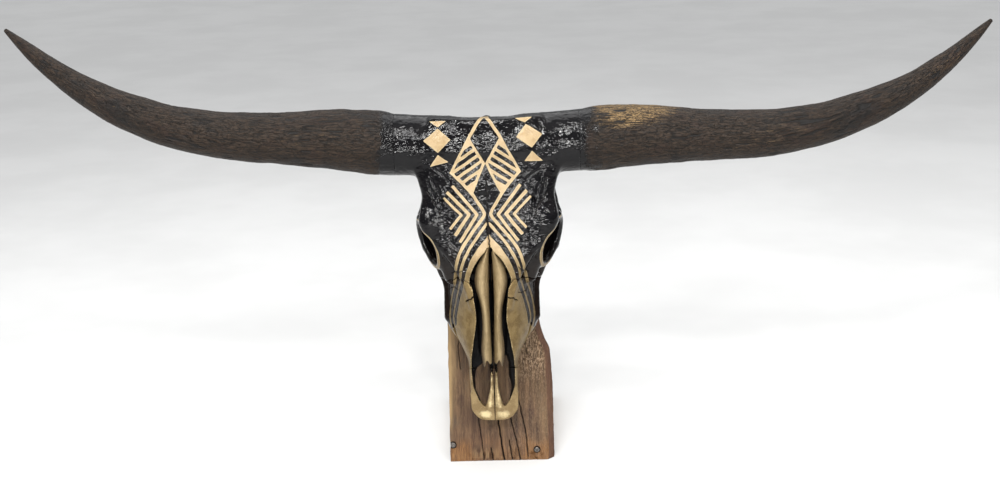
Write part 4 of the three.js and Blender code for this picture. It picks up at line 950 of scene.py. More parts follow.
# cracks and sutures: lines on the face (x, v), half width, depth, lowest w
CRACKS = [
    ([(-2.6, 96), (-1.4, 112), (-0.9, 133), (-1.6, 142), (-1.2, 153), (-2.6, 165), (-0.8, 176), (-1.4, 184)], 0.55, 1.8, -20),
    ([(-1.2, 172), (-0.2, 182), (-1.4, 192), (-0.2, 199), (0.4, 207), (0.2, 216)], 0.95, 3.2, -20),
    ([(-1.3, 180), (-0.4, 186), (-1.2, 191)], 2.0, 4.5, -20),
    ([(-41.4, 303.2), (-36.8, 299.5), (-31.0, 296.0), (-25.5, 291.0)], 0.75, 2.2, -60),
    ([(28.0, 296.0), (32.0, 297.6), (35.9, 297.4), (42.5, 303.5)], 0.75, 2.2, -60),
    ([(-62.0, 257.5), (-56.0, 254.5), (-50.0, 252.5), (-44.5, 251.0)], 0.45, 1.2, -60),
    ([(62.0, 258.0), (57.0, 254.0), (52.0, 252.0), (46.0, 246.0)], 0.45, 1.2, -60),
    ([(-66.5, 287.0), (-60.5, 283.5), (-54.0, 286.5)], 0.4, 1.0, -75),
    ([(45.0, 290.5), (51.5, 293.5), (58.0, 291.0)], 0.4, 1.0, -75),
    ([(96.0, 128.0), (86.0, 141.0), (79.0, 150.0), (75.0, 166.0)], 0.45, 1.0, -50),
    ([(-98.0, 122.0), (-89.0, 138.0), (-81.0, 149.0), (-77.0, 163.0)], 0.45, 1.0, -50),
]
# furrows on each side of the forehead, where vessels ran
FURROWS = [
    ([(-90.2, 97.0), (-86.5, 108.0), (-80.5, 119.0), (-77.0, 131.0), (-74.0, 146.0)], 2.3, 2.6),
    ([(88.4, 101.0), (85.0, 112.0), (79.5, 122.0), (75.6, 135.0), (72.5, 150.0)], 2.3, 2.6),
    ([(-83.0, 88.0), (-70.0, 95.0), (-62.0, 104.0)], 1.7, 1.5),
    ([(84.0, 90.0), (72.0, 97.0), (64.0, 104.0)], 1.7, 1.5),
    ([(-97.0, 103.0), (-92.0, 118.0), (-87.0, 131.0)], 1.6, 1.6),
    ([(95.0, 106.0), (90.0, 120.0), (86.0, 133.0)], 1.6, 1.6),
]


def crack_distance(x, v, w):
    out = np.full(len(x), 9.0)
    p = np.stack([x, v, w], 1)
    jx = x + 0.9 * vnoise(p / 4.5, 21)
    jv = v + 0.9 * vnoise(p / 4.5, 22)
    for line, half, depth, floor in CRACKS:
        xs = [q[0] for q in line]
        vs = [q[1] for q in line]
        at = (x > min(xs) - 6) & (x < max(xs) + 6) & (v > min(vs) - 6) & (v < max(vs) + 6) & (w > floor)
        if at.any():
            out[at] = np.minimum(out[at], segments(jx[at], jv[at], line) - half + 0.45)
    return out


def suture(x):
    """Level of the cut between the cranium and the upper jaw."""
    u = np.abs(x)
    return prof(u, [[0, 277], [28, 275], [36, 269.5], [43, 266.5], [52, 266], [62, 268.5], [75, 272], [100, 275]])


# ------------------------------------------------------------------ build the bones
half, lo = sample(lambda u, v, w: np.maximum(bones(u, v, w), u - 149.95), (0, -20, -196), (152, 522, 20), H)
grid = np.concatenate([half[:0:-1], half], 0)
org = np.array([-(half.shape[0] - 1) * H, lo[1], lo[2]])
del half
ax = [org[i] + np.arange(grid.shape[i]) * H for i in range(3)]


def region(a, b):
    i = [slice(max(0, int((a[k] - org[k]) / H)), min(grid.shape[k], int((b[k] - org[k]) / H) + 2)) for k in range(3)]
    g = np.meshgrid(*[ax[k][i[k]] for k in range(3)], indexing="ij")
    return tuple(i), [q.ravel() for q in g], g[0].shape


def carve(a, b, fn):
    """Changes the field inside a box: fn gets x, v, w and d and gives the new d."""
    i, (x, v, w), shape = region(a, b)
    d = grid[i].ravel().astype(float)
    at = np.abs(d) < 9
    d[at] = fn(x[at], v[at], w[at], d[at])
    grid[i] = d.reshape(shape)


def crack_cut(line, half, depth, floor):
    def fn(x, v, w, d):
        p = np.stack([x, v, w], 1)
        t = segments(x + 0.9 * vnoise(p / 4.5, 21), v + 0.9 * vnoise(p / 4.5, 22), line)
        width = half * (1.0 + 0.35 * vnoise(p / 7.0, 25))
        return np.maximum(d, np.minimum(width - t, d + depth))

    xs, vs = [q[0] for q in line], [q[1] for q in line]
    carve((min(xs) - 4, min(vs) - 4, floor), (max(xs) + 4, max(vs) + 4, 16), fn)


def furrow_cut(line, half, depth):
    def fn(x, v, w, d):
        p = np.stack([x, v, w], 1)
        t = segments(x + 1.2 * vnoise(p / 9.0, 31), v + 1.2 * vnoise(p / 9.0, 32), line)
        return smax(d, np.minimum(half - t, d + depth * (0.75 + 0.5 * vnoise(p / 12.0, 33))), 1.6)

    xs, vs = [q[0] for q in line], [q[1] for q in line]
    carve((min(xs) - 7, min(vs) - 7, -34), (max(xs) + 7, max(vs) + 7, 16), fn)


for q in FURROWS:
    furrow_cut(*q)
for q in CRACKS:
    crack_cut(*q)


# ragged, thin edges round the opening of the nose
def ragged(x, v, w, d):
    u = np.abs(x)
    at = (w > -60) & (v < 440)
    if not at.any():
        return d
    p = np.stack([x, v, w], 1)[at]
    _, cav, _, _, _ = bones(u[at].astype(np.float32), v[at].astype(np.float32), w[at].astype(np.float32), True)
    bite = 0.9 * fbm(p / 5.0, 41, 3, 0.6) + 1.0 * np.maximum(vnoise(p / 2.6, 44) - 0.35, 0) - 0.1
    fade = sstep(w[at], -40, -16) * (1 - sstep(v[at], 395, 435))
    d[at] = np.maximum(d[at], np.where(cav < 4.5, bite * 1.35 * fade - cav, -9) * 1.0)
    return d


carve((-42, 205, -60), (42, 440, 12), ragged)


# scrolls of thin bone inside the nose, and the blade between them
def scrolls(x, v, w, d):
    u = np.abs(x)
    out = d
    for c0, r, t, start in (((15.5, -54), 9.0, 0.9, 262), ((17.0, -78), 8.0, 0.9, 276)):
        cu = c0[0] + 0.02 * (v - 300)
        q = np.sqrt((u - cu) ** 2 + (w - c0[1]) ** 2)
        a = np.arctan2(w - c0[1], u - cu)
        rr = r * (0.62 + 0.19 * (a + math.pi) / math.pi) * (1 - 0.35 * sstep(v, 330, 400))
        sheet = np.abs(q - rr) - t
        sheet = np.maximum(sheet, np.maximum(start - v, v - 396 - 5 * np.sin(a * 2)))
        out = np.minimum(out, sheet)
        leaf = np.maximum(np.abs(w - c0[1] + 0.12 * (u - cu)) - t, np.maximum(cu + r * 0.6 - u, np.maximum(start - v, v - 398)))
        leaf = np.maximum(leaf, u - 37)
        out = np.minimum(out, leaf)
    blade = np.maximum(np.abs(x - 0.8 * np.sin(v / 23.0)) - 1.1, np.maximum(np.maximum(250 - v, v - 404 + 0.5 * (w + 90)), np.maximum(w + 52 + 0.10 * (v - 250), -100 - w)))
    return np.minimum(out, blade)


def scrolls_all(x, v, w, d):
    return scrolls(x, v, w, d)


i, (gx, gv, gw), shape = region((-38, 246, -101), (38, 408, -42))
dd = grid[i].ravel().astype(float)
dd = scrolls(gx, gv, gw, dd)
grid[i] = dd.reshape(shape)
del gx, gv, gw, dd

# the floor of the nose keeps a ledge beside each outer wall, wider on the steer's left
NOSE_RIM = [[381, 31.3], [403, 34.3], [432, 34.8], [446, 34.4], [456, 33.6], [466, 31], [475, 27.7], [485, 23], [490, 19.5]]
LEDGE_L = [[398, 16], [405, 13], [423, 10], [442, 9.4], [450, 7], [462, 4], [472, 2], [480, 1], [487, -1]]
LEDGE_R = [[398, 30], [410, 27], [416, 21], [422, 13], [428, 7], [436, 3.6], [446, 2], [458, 0.8], [468, -1]]


def ledge(x, v, w, d):
    u = np.abs(x)
    wide = np.where(x > 0, prof(v, LEDGE_L), prof(v, LEDGE_R)) + 0.5 * vnoise(np.stack([x, v, w], 1) / 4.0, 47)
    rim = prof(v, NOSE_RIM)
    slab = np.maximum(np.maximum(rim - wide - u + 0.35 * relu(w + 90), u - rim - 2.5), np.maximum(-97.5 - w, w + 78))
    slab = np.maximum(slab, np.maximum(399 - v, v - 487))
    return np.minimum(d, slab)


i, (gx, gv, gw), shape = region((-41, 396, -101), (41, 490, -72))
dd = ledge(gx, gv, gw, grid[i].ravel().astype(float))
grid[i] = dd.reshape(shape)
del gx, gv, gw, dd

KERF = 0.11
cut1 = suture(ax[0]) + 1.1 * np.sin(ax[0] / 2.9 + 0.8) * np.sin(ax[0] / 7.3) + 0.6 * np.sin(ax[0] / 1.7)
# down in the face the seam settles to a plain level
A0, A1, A2 = ax[0][:, None, None], ax[1][None, :, None], ax[2][None, None, :]


def level1():
    t = sstep(A2, -90, -40)
    return mix(274.0 + 0.8 * np.sin(A0 / 3.1), cut1[:, None, None], t)


def level2():
    return 424.0 - 0.16 * (A2 + 74) + 0.5 * np.sin(A2 / 2.7)


def cut_mesh(sel, box):
    i = tuple(slice(max(0, int((box[0][k] - org[k]) / H)), min(grid.shape[k], int((box[1][k] - org[k]) / H) + 2)) for k in range(3))
    sub = grid[i].astype(np.float32)
    for plane in sel:
        sub = np.maximum(sub, plane[tuple(i[k] if plane.shape[k] > 1 else slice(None) for k in range(3))].astype(np.float32))
    for k in range(3):  # keep the shell closed at the box
        edge = [slice(None)] * 3
        for e in (0, -1):
            edge[k] = e
            sub[tuple(edge)] = np.maximum(sub[tuple(edge)], 0.3)
    o = np.array([ax[k][i[k]][0] for k in range(3)])
    v, q = surface_nets(sub, o, H)
    return largest(v, q)


L1, L2 = level1(), level2()
jobs = {
    "cranium": ([A1 - L1 + KERF], ((-152, -20, -196), (152, 284, 20))),
    "maxilla_right": ([L1 - A1 + KERF, A1 - L2 + KERF, A0 + KERF], ((-110, 258, -196), (3, 436, 12))),
    "maxilla_left": ([L1 - A1 + KERF, A1 - L2 + KERF, -A0 + KERF], ((-3, 258, -196), (110, 436, 12))),
    "incisive_right": ([L2 - A1 + KERF, A0 + KERF], ((-60, 412, -130), (3, 522, 0))),
    "incisive_left": ([L2 - A1 + KERF, -A0 + KERF], ((-3, 412, -130), (60, 522, 0))),
}


def finish_bone(name, v, q):
    u = np.abs(v[:, 0])
    f = [a.astype(np.float32) for a in (u, v[:, 1], v[:, 2])]
    _, cav, nas, tth, oc = bones(*f, True)
    n = normals(v, q)
    x, lv, w = v[:, 0], v[:, 1], v[:, 2]
    inside = np.minimum(cav, 30)
    # painted shade: the inside of the nose, the depths of the eye sockets and the underside of the skull are coloured
    # near-black
    hollow = sstep(-cav, -0.9, 0.5) * sstep(lv, 205, 225) * (1 - sstep(lv, 426, 432) * (u < 24))
    hollow = np.maximum(hollow, 0.8 * sstep(-oc, 2.0, 12.0))
    hollow = np.where((w < -101) & (lv > 200), np.maximum(hollow, 0.35), hollow)
    gold = painted(x, lv, w, inside + 40 * (lv < 208), oc)
    crk = crack_distance(x, lv, w)
    # raised, convex places wear first: the mean of the neighbours lies under them
    sm = relax(v, q, 2, 0.6)
    curv = ((v - sm) * n).sum(1)
    wear = np.clip(0.45 + curv * 3.2, 0, 1)
    # the ragged rims of the nose opening show pale bone, partly wear and partly a painted highlight on those edges
    wear = np.where((cav < 2.2) & (w > -60) & (lv > 205), np.maximum(wear, 0.66), wear)
    onteeth = sstep(-w, 108, 116) * sstep(-tth, -1.5, 0.2)
    wear = np.maximum(wear, onteeth * 0.97)
    # painted shade: this mask of the lower face makes its gold duller and browner; it also makes the black there
    # browner and the gold rougher and more metallic
    low = sstep(lv, 205, 262)
    rimd = 0.75 * sstep(u, 70, 80) * sstep(lv, 140, 150)
    # painted highlight: cream patches on the palatine processes and the front of the premaxillae
    cream_highlight = 0.62 * sstep(lv, 434, 447) * (1 - sstep(u, 9, 17)) * (1 - sstep(lv, 492, 500))
    cream_highlight = np.maximum(cream_highlight, 0.9 * np.clip(1.25 - np.hypot((u - 15) / 17, (lv - 507) / 11), 0, 1))
    cream_highlight = cream_highlight * sstep(w, -101, -93)
    # thick enamel lies in lumps, and bare bone texture shows through it
    skin = np.stack([x, lv, w], 1)
    lumps = 0.20 * fbm(skin / 7.5, 51, 2) + 0.09 * vnoise(skin / 3.4, 53)
    lumps = lumps * (1 - 0.6 * sstep(gold, -0.5, 0.8)) + 0.55 * fbm(skin / 34.0, 55, 2)
    seam = sstep(u, 136, 148)
    v = v + n * ((lumps - 0.35) * (1 - seam) - 0.33 * seam)[:, None]
    if name == "cranium":
        at = (u > 148.76) & (u < 149.9)
        e = 0.4
        for _ in range(4):
            y, z = v[at, 1].astype(np.float32), v[at, 2].astype(np.float32)
            k = np.full(len(y), 149.5, np.float32)
            d0 = bones(k, y, z)
            dy = (bones(k, y + e, z) - bones(k, y - e, z)) / (2 * e)
            dz = (bones(k, y, z + e) - bones(k, y, z - e)) / (2 * e)
            step = np.clip(-(d0 + 0.33), -0.8, 0.8) / np.maximum(dy * dy + dz * dz, 0.3)
            v[at, 1] += step * dy
            v[at, 2] += step * dz
        v[at, 0] = np.sign(v[at, 0]) * 149.93
    return v, dict(gold=gold, crk=crk, low=low, rimd=rimd, cream_highlight=cream_highlight, wear=wear, hollow=hollow, sk=np.stack([x, lv, w], 1))


for name, (sel, box) in jobs.items():
    v, q = cut_mesh(sel, box)
    v, extra = finish_bone(name, v, q)
    slot = "gold_paint" if name.startswith("incisive") else "painted_bone"
    if name.startswith("incisive"):
        # the premaxillae take less of the lower face's painted shade
        extra["low"] *= 0.72
    piece(name + "_bone", skull_to_world(v), q, name, slot, PAINT if name == "cranium" else MUZZLE, flat=(np.abs(v[:, 0])[q] > 149.8).all(1), **extra)
del grid

# ------------------------------------------------------------------ nasal bones
NASAL_OUT = [[213, 4], [235, 17.3], [257, 25.2], [268, 26.6], [292, 22.5], [316, 17.6], [342, 16.2], [370, 18.2], [412, 16]]
NASAL_IN = [[213, 1.0], [222, 2.2], [240, 3.1], [266, 3.8], [300, 4], [327, 3.3], [412, 1.6]]
for side, name in ((-1, "nasal_right"), (1, "nasal_left")):
    def nf(x, v, w, side=side):
        p = np.stack([x, v, w], 1)
        u = side * x
        d = nasal_field(np.maximum(u, -1.0), v, w)
        d = np.where(u < -0.5, np.maximum(d, -u), d)
        chip = 0.5 * fbm(p / 4.2, 61 + side, 3, 0.6)
        ends = sstep(v, 380, 410) + (1 - sstep(v, 216, 240))
        return d + chip * (0.35 + 0.9 * ends) - 0.10
    lo_ = (-34, 208, -50) if side < 0 else (-3, 208, -50)
    hi_ = (3, 424, 10) if side < 0 else (34, 424, 10)
    d, o = sample(nf, lo_, hi_, 0.85)
    for k in range(3):
        edge = [slice(None)] * 3
        for e in (0, -1):
            edge[k] = e
            d[tuple(edge)] = np.maximum(d[tuple(edge)], 0.3)
    v, q = surface_nets(d, o, 0.85)
    v, q = largest(v, q)
    n = normals(v, q)
    sm = relax(v, q, 2, 0.6)
    wear = np.clip(0.42 + ((v - sm) * n).sum(1) * 4.0, 0, 1)
    # painted shade: the faces of each nasal bone that turn back from the front, darkened in the gold
    under = sstep(-n[:, 2], -0.15, 0.35)
    nq_ = side * v[:, 0] - 0.5 * (prof(v[:, 1], NASAL_OUT) + prof(v[:, 1], NASAL_IN))
    nq_ /= 0.5 * (prof(v[:, 1], NASAL_OUT) - prof(v[:, 1], NASAL_IN))
    # painted shade: darker sides, inner edge and lower ends of each nasal bone, as the rounded bone turns from the
    # light
    side_shade = sstep(nq_, 0.30, 0.98) * 0.9 + 0.5 * sstep(-nq_, 0.65, 1.0)
    side_shade *= 0.45 + 0.55 * sstep(v[:, 1], 235, 290)
    side_shade = np.clip(side_shade + 0.3 * sstep(v[:, 1], 392, 408), 0, 1)
    skin = v.copy()
    v = v + n * (0.10 * fbm(skin * np.array([1, 0.3, 1]) / 4.0, 66, 2) - 0.1)[:, None]
    v[:, 0] += 1.0
    piece(name + "_bone", skull_to_world(v), q, name, "gold_paint", GOLD, wear=wear, hollow=under, side=side_shade, sk=skin)

# ------------------------------------------------------------------ horns
STATIONS = [
    [0, 44.5, 44.5, -49, 51, 44.5],
    [0.05, 41.5, 43.5, -47, 53.4, 46.5],
    [0.1, 38.5, 41, -43, 51.5, 46],
    [0.16, 34.5, 40.3, -37, 49.5, 44.5],
    [0.24, 32, 41, -29, 46, 42],
    [0.33, 29, 42.5, -22, 41.8, 38.8],
    [0.45, 22.6, 41.5, -12, 38.7, 36],
    [0.57, 8.3, 32.3, -4, 34.9, 32.8],
    [0.69, -17.6, 9.4, 3, 30.7, 29],
    [0.8, -52.9, -22.3, 9.7, 23.4, 22.2],
    [0.9, -97, -66.8, 14.6, 15.6, 15],
    [0.965, -132.5, -104, 17.2, 8.8, 8.5],
    [1, -152.5, -126, 18.5, 3.4, 3.3],
]
PAINT_SIDE = 1.0
for side, name, reach in ((-1, "horn_right", REACH_RIGHT), (1, "horn_left", REACH_LEFT)):
    col = lambda k: [[s[0], s[k]] for s in STATIONS]
    NR, NA = 600, 200
    t = np.linspace(0, 1, NR)
    # closer rings near the root and the tip
    t = 0.5 * t + 0.5 * (0.5 - 0.5 * np.cos(np.pi * t))
    cen = np.stack([HORN_CUT + 0.14 + t * reach, prof(t, col(1 if side < 0 else 2)), prof(t, col(3))], 1)
    run = np.concatenate([[0], np.cumsum(np.linalg.norm(np.diff(cen, axis=0), axis=1))])
    hv, hw = prof(t, col(4)), prof(t, col(5))
    dirn = np.gradient(cen, axis=0)
    dirn[0] = (1, 0, 0)
    dirn /= np.linalg.norm(dirn, axis=1, keepdims=True)
    blend_in = sstep(t, 0, 0.03)[:, None]
    dirn = dirn * blend_in + np.array([1, 0, 0]) * (1 - blend_in)
    dirn /= np.linalg.norm(dirn, axis=1, keepdims=True)
    upv = np.array([0, -1.0, 0]) - dirn * (-dirn[:, 1])[:, None]
    upv /= np.linalg.norm(upv, axis=1, keepdims=True)
    outv = np.cross(dirn, upv)
    a = np.linspace(0, 2 * np.pi, NA, endpoint=False)
    R, A = np.meshgrid(np.arange(NR), a, indexing="ij")
    ca, sa = np.cos(A), np.sin(A)
    rad = (hv[:, None] + hw[:, None]) / 2
    run2 = np.broadcast_to(run[:, None], ca.shape)
    g = np.stack([rad * ca, rad * sa, run2], -1).reshape(-1, 3)
    seed = 70 + side
    k = np.array([1, 1, 0.12])
    body = 1 - sstep(t, 0.93, 1.0)
    fib = fbm(g * np.array([1, 1, 0.28]) / 5.0, seed, 3, 0.65)
    deep = vnoise(g * np.array([1, 1, 0.15]) / 3.6, seed + 5)
    split = np.maximum(-deep - 0.42, 0) / 0.6
    split *= sstep(vnoise(g / 38.0, seed + 7), -0.35, 0.25)
    lump = fbm(g / 46.0, seed + 9, 2)
    rings = np.sin(run2.ravel() / 6.5 + 1.5 * vnoise(g / 60.0, seed + 11)) * (0.28 * (1 - sstep(run2.ravel(), 60, 300)))
    off = 0.62 * fib + 0.9 * lump - 1.7 * split + rings - 0.8
    pits = np.maximum(vnoise(g * np.array([1, 1, 0.4]) / 3.0, seed + 13) - 0.45, 0)
    off -= 1.2 * pits
    off = off * (np.clip(rad / 24, 0.12, 1) * np.ones_like(ca)).ravel()
    # the rim of the sheath lies flat against the skull
    off = off * sstep(run2.ravel(), 0, 9) - 0.33 * (1 - sstep(run2.ravel(), 0, 9))
    off = off.reshape(ca.shape)
    # the sheath's root takes the section of the bone it stands on
    grow = np.linspace(0.80, 1.16, 73)
    ring0 = np.stack([np.outer(grow, -hv[0] * ca[0]) + cen[0, 1], np.outer(grow, -hw[0] * sa[0]) + cen[0, 2]], -1)
    fd = bones(np.full(ring0[..., 0].size, 149.5, np.float32), ring0[..., 0].ravel().astype(np.float32), ring0[..., 1].ravel().astype(np.float32)).reshape(len(grow), NA)
    kk = np.clip((fd < 0).sum(0), 1, len(grow) - 1)
    f0, f1 = fd[kk - 1, np.arange(NA)], fd[kk, np.arange(NA)]
    fit = grow[kk - 1] + (grow[1] - grow[0]) * np.clip(f0 / np.where(f0 == f1, 1, f0 - f1), 0, 1)
    fit = np.convolve(np.concatenate([fit[-4:], fit, fit[:4]]), np.ones(9) / 9, "valid")
    blend = (1 - sstep(run, 0, 34))[:, None] * (fit[None] - 1)
    off = off + blend * hv[:, None] * ca**2 + blend * hw[:, None] * sa**2
    P = cen[:, None, :] + upv[:, None, :] * ((hv[:, None] + off) * ca)[..., None] + outv[:, None, :] * ((hw[:, None] + off) * sa)[..., None]
    P = P.reshape(-1, 3)
    P[:NA, 0] = HORN_CUT + 0.14
    # close the root with a flat, slightly dished face and the tip with a rounded point
    caps, rows = [], [P]
    verts = [P]
    count = len(P)
    quads = []
    i0 = np.arange(NR - 1)[:, None] * NA + np.arange(NA)[None]
    i1 = np.arange(NR - 1)[:, None] * NA + (np.arange(NA) + 1)[None] % NA
    quads.append(np.stack([i0, i0 + NA, i1 + NA, i1], -1).reshape(-1, 4))
    prev = np.arange(NA)
    base0 = P[:NA]
    c0 = base0.mean(0)
    for j, f in enumerate((0.8, 0.5, 0.2)):
        ringp = c0 + (base0 - c0) * f
        ringp[:, 0] = HORN_CUT + 0.14
        verts.append(ringp)
        cur = count + np.arange(NA)
        quads.append(np.stack([np.roll(prev, -1), np.roll(cur, -1), cur, prev], -1))
        prev = cur
        count += NA
    verts.append(c0[None] * [0, 1, 1] + [[HORN_CUT + 0.14, 0, 0]])
    centre = count
    count += 1
    half = NA // 2
    quads.append(np.stack([prev[0:NA:2], np.roll(prev, -1)[0:NA:2] * 0 + centre, np.roll(prev, -2)[0:NA:2], np.roll(prev, -1)[0:NA:2]], -1))
    tip0 = P[-NA:]
    ct = tip0.mean(0)
    prev = np.arange((NR - 1) * NA, NR * NA)
    for f, adv in ((0.86, 0.9), (0.6, 1.5), (0.3, 1.85)):
        ringp = ct + (tip0 - ct) * f + dirn[-1] * adv
        verts.append(ringp)
        cur = count + np.arange(NA)
        quads.append(np.stack([prev, cur, np.roll(cur, -1), np.roll(prev, -1)], -1))
        prev = cur
        count += NA
    verts.append((ct + dirn[-1] * 1.95)[None])
    quads.append(np.stack([np.roll(prev, -1)[0:NA:2] * 0 + count, np.roll(prev, -2)[0:NA:2], np.roll(prev, -1)[0:NA:2], prev[0:NA:2]], -1))
    V = np.vstack(verts)
    Q = np.vstack(quads)
    V[:, 0] *= side
    if side > 0:
        pass
    # outward winding is settled by the sign of the shell's volume
    tri = V[Q]
    vol = (np.einsum("ij,ij->i", tri[:, 0], np.cross(tri[:, 1], tri[:, 2])) + np.einsum("ij,ij->i", tri[:, 0], np.cross(tri[:, 2], tri[:, 3]))).sum()
    # (x, v, w) is a left-handed set: v points down and w towards the viewer
    G = np.zeros((len(V), 3))
    G[: len(g)] = g
    G[len(g) :] = np.stack([V[len(g) :, 1], V[len(g) :, 2], np.where(np.arange(len(V) - len(g)) < 3 * NA + 1, 0, run[-1])], 1)
    rn = G[:, 2]
    base = np.zeros(len(V))
    wob = vnoise(G / 16.0, seed + 15)
    frontal = np.clip(G[:, 1] / np.maximum(np.hypot(G[:, 0], G[:, 1]), 1) * PAINT_SIDE, -1, 1)
    base = 1 - sstep(rn + 13 * wob - 8 * frontal, -8, 66)
    base[len(g) : len(g) + 3 * NA + 1] = 1
    topside = G[:, 0] / np.maximum(np.hypot(G[:, 0], G[:, 1]), 1)
    big = vnoise(G * np.array([1, 1, 0.35]) / 52.0, seed + 19)
    tan = 0.11 + 0.30 * big
    if side > 0:
        tan += 0.75 * bump(rn, 78, 105) * sstep(topside, -0.15, 0.5)
    else:
        tan += 0.25 * bump(rn, 80, 90) * sstep(topside, -0.1, 0.6)
    tan += 0.14 * bump(rn, run[-1] - 120, 150)
    cutm = np.zeros(len(V))
    cutm[: len(g)] = sstep(split, 0.05, 0.30)
    W = skull_to_world(V)
    trw = W[Q]
    vol = (np.einsum("ij,ij->i", trw[:, 0] - W[0], np.cross(trw[:, 1] - W[0], trw[:, 2] - W[0])) + np.einsum("ij,ij->i", trw[:, 0] - W[0], np.cross(trw[:, 2] - W[0], trw[:, 3] - W[0]))).sum()
    if vol < 0:
        Q = Q[:, ::-1]
    piece(name + "_sheath", W, Q, name, "horn", HORN, flat=(np.abs(V[:, 0])[Q] < HORN_CUT + 0.15).all(1), gr=G, base=base, tan=np.clip(tan, 0, 1), cut=cutm, ring=rn, sk=V)


# ------------------------------------------------------------------ timber
def block(xs, ns, ss):
    """The six sides of a grid of nx by nn by ns places as one closed shell."""
    nx, nn, nz = len(xs), len(ns), len(ss)
    idx = -np.ones((nx, nn, nz), np.int64)
    surf = np.zeros((nx, nn, nz), bool)
    surf[[0, -1]] = True
    surf[:, [0, -1]] = True
    surf[:, :, [0, -1]] = True
    idx[surf] = np.arange(surf.sum())
    at = np.argwhere(surf)
    quads = []
    for ax_, e, flip in ((0, 0, 0), (0, -1, 1), (1, 0, 1), (1, -1, 0), (2, 0, 0), (2, -1, 1)):
        f = np.take(idx, e, axis=ax_)
        q = np.stack([f[:-1, :-1], f[1:, :-1], f[1:, 1:], f[:-1, 1:]], -1).reshape(-1, 4)
        quads.append(q[:, ::-1] if flip else q)
    return np.stack([xs[at[:, 0]], ns[at[:, 1]], ss[at[:, 2]]], 1), np.vstack(quads)


def outward(W, Q):
    c = W.mean(0)
    t = W[Q] - c
    vol = (np.einsum("ij,ij->i", t[:, 0], np.cross(t[:, 1], t[:, 2])) + np.einsum("ij,ij->i", t[:, 0], np.cross(t[:, 2], t[:, 3]))).sum()
    return Q if vol > 0 else Q[:, ::-1]


def soften(p, dist, r):
    """Rounds the edges of a block: dist holds each point's distance to the two faces of
    each axis, and p moves towards the inside."""
    c = [np.maximum(r - np.minimum(a, b), 0) for a, b in dist]
    sgn = [np.where(a < b, 1.0, -1.0) for a, b in dist]
    n = np.sqrt(sum(q * q for q in c))
    many = sum((q > 0).astype(int) for q in c) >= 2
    k = np.where(many & (n > r), 1 - r / np.maximum(n, 1e-9), 0)
    return p + np.stack([s * q * k for s, q in zip(sgn, c)], 1)


EDGE = [[0, 98], [9, 100.7], [120, 100.7], [162, 98.7], [188, 96.7], [209, 87.8], [237, 80.8], [264, 77.8], [306, 79.8], [352, 87.8], [392, 97.7], [550, 98.8], [556, 97.5]]
# drying cracks in the face: places (x, s), half width, depth
CHECKS = [
    ([(-35, 140), (-33, 100), (-30.7, 79), (-26.5, 50), (-22.8, 27), (-20, -2)], 0.45, 4.5),
    ([(-9, 190), (-4, 140), (0.7, 88), (5.6, 58), (10.4, 27), (15.3, -2)], 0.85, 9.0),
    ([(21, 96), (26, 69), (34, 39), (38.9, 18), (42.8, -2)], 0.55, 6.0),
    ([(36, 112), (42.8, 86), (51.6, 46), (54.6, 20), (55.5, 6)], 0.55, 6.0),
    ([(-8, 22), (-6, 10), (-4.5, -2)], 0.6, 6.0),
    ([(23, 34), (26.5, 14), (29, -2)], 0.6, 6.0),
    ([(-62, 232), (-60, 205), (-61, 180), (-58, 158)], 0.45, 3.0),
    ([(-46, 300), (-44, 260), (-45, 226), (-42, 196)], 0.45, 3.5),
    ([(-58, 330), (-57, 280), (-58.5, 240)], 0.4, 3.0),
    ([(-36, 250), (-35, 205), (-33, 170)], 0.4, 3.0),
    ([(52, 250), (53, 215), (56, 180)], 0.35, 2.0),
    ([(-30, 553), (-27, 470), (-29, 400)], 0.7, 7.0),
    ([(34, 556), (31, 505), (33, 455)], 0.6, 6.0),
]
xs = np.concatenate([np.linspace(0, 1, 190)])
ns = np.linspace(0, 1, 26)
ss = np.concatenate([np.linspace(0, 0.06, 30)[:-1], np.linspace(0.06, 0.36, 130)[:-1], np.linspace(0.36, 1.0, 200)])
P, Q = block(xs, ns, ss)
a, b, c = P[:, 0], P[:, 1], P[:, 2]
s0 = b * PLANK_THICK * math.tan(LEAN)
s = s0 + (PLANK_LENGTH - 0.4 - s0) * c
wob = np.stack([s * 0 + 3.0, s / 14.0, b * 2.0], 1)
xr = prof(s, EDGE) - 0.5 * (1 + vnoise(wob, 81)) * (0.4 + 0.6 * sstep(s, 180, 240))
wane = 10.0 * (1 - sstep(s, 330, 352)) * (1 - sstep(s, 0, 1) * 0)
xr = xr - wane * np.clip(1 - b * PLANK_THICK / 10.0, 0, 1)
xl = PLANK_LEFT + 0.25 + 0.5 * (1 + vnoise(wob + 9, 82)) + 1.6 * np.maximum(vnoise(np.stack([s / 30.0, b * 3, s * 0], 1), 83) - 0.3, 0)
x = xl + (xr - xl) * a
n = -b * PLANK_THICK
pts = np.stack([x, n, s], 1)
r = 2.2 + 1.3 * vnoise(np.stack([x / 18, s / 18, n / 18], 1), 84)
r = np.where(c < 0.01, np.minimum(r, 2.0), r)
pts = soften(pts, [(x - xl, xr - x), (n + PLANK_THICK, -n), (s - s0, PLANK_LENGTH - 0.4 - s)], r)
front = (b == 0)
rear = (b == 1)
gp = np.stack([x, s, n], 1)
grain = fbm(np.stack([x / 2.6, s / 70.0, n / 8.0], 1) + 0.35 * np.stack([fbm(gp / 60.0, 85, 2)] * 3, 1) * [6, 0, 6], 86, 3, 0.6)
broad = fbm(np.stack([x / 22, s / 90, n / 30], 1), 87, 2)
rough = fbm(np.stack([x / 2.4, s / 5.5, n / 4], 1), 88, 3, 0.65)
roughzone = sstep(x, 22, 40) * (1 - sstep(x, 82, 92)) * sstep(s, 120, 190) * (1 - sstep(s, 420, 470))
crk = np.full(len(x), 9.0)
dent = np.zeros(len(x))
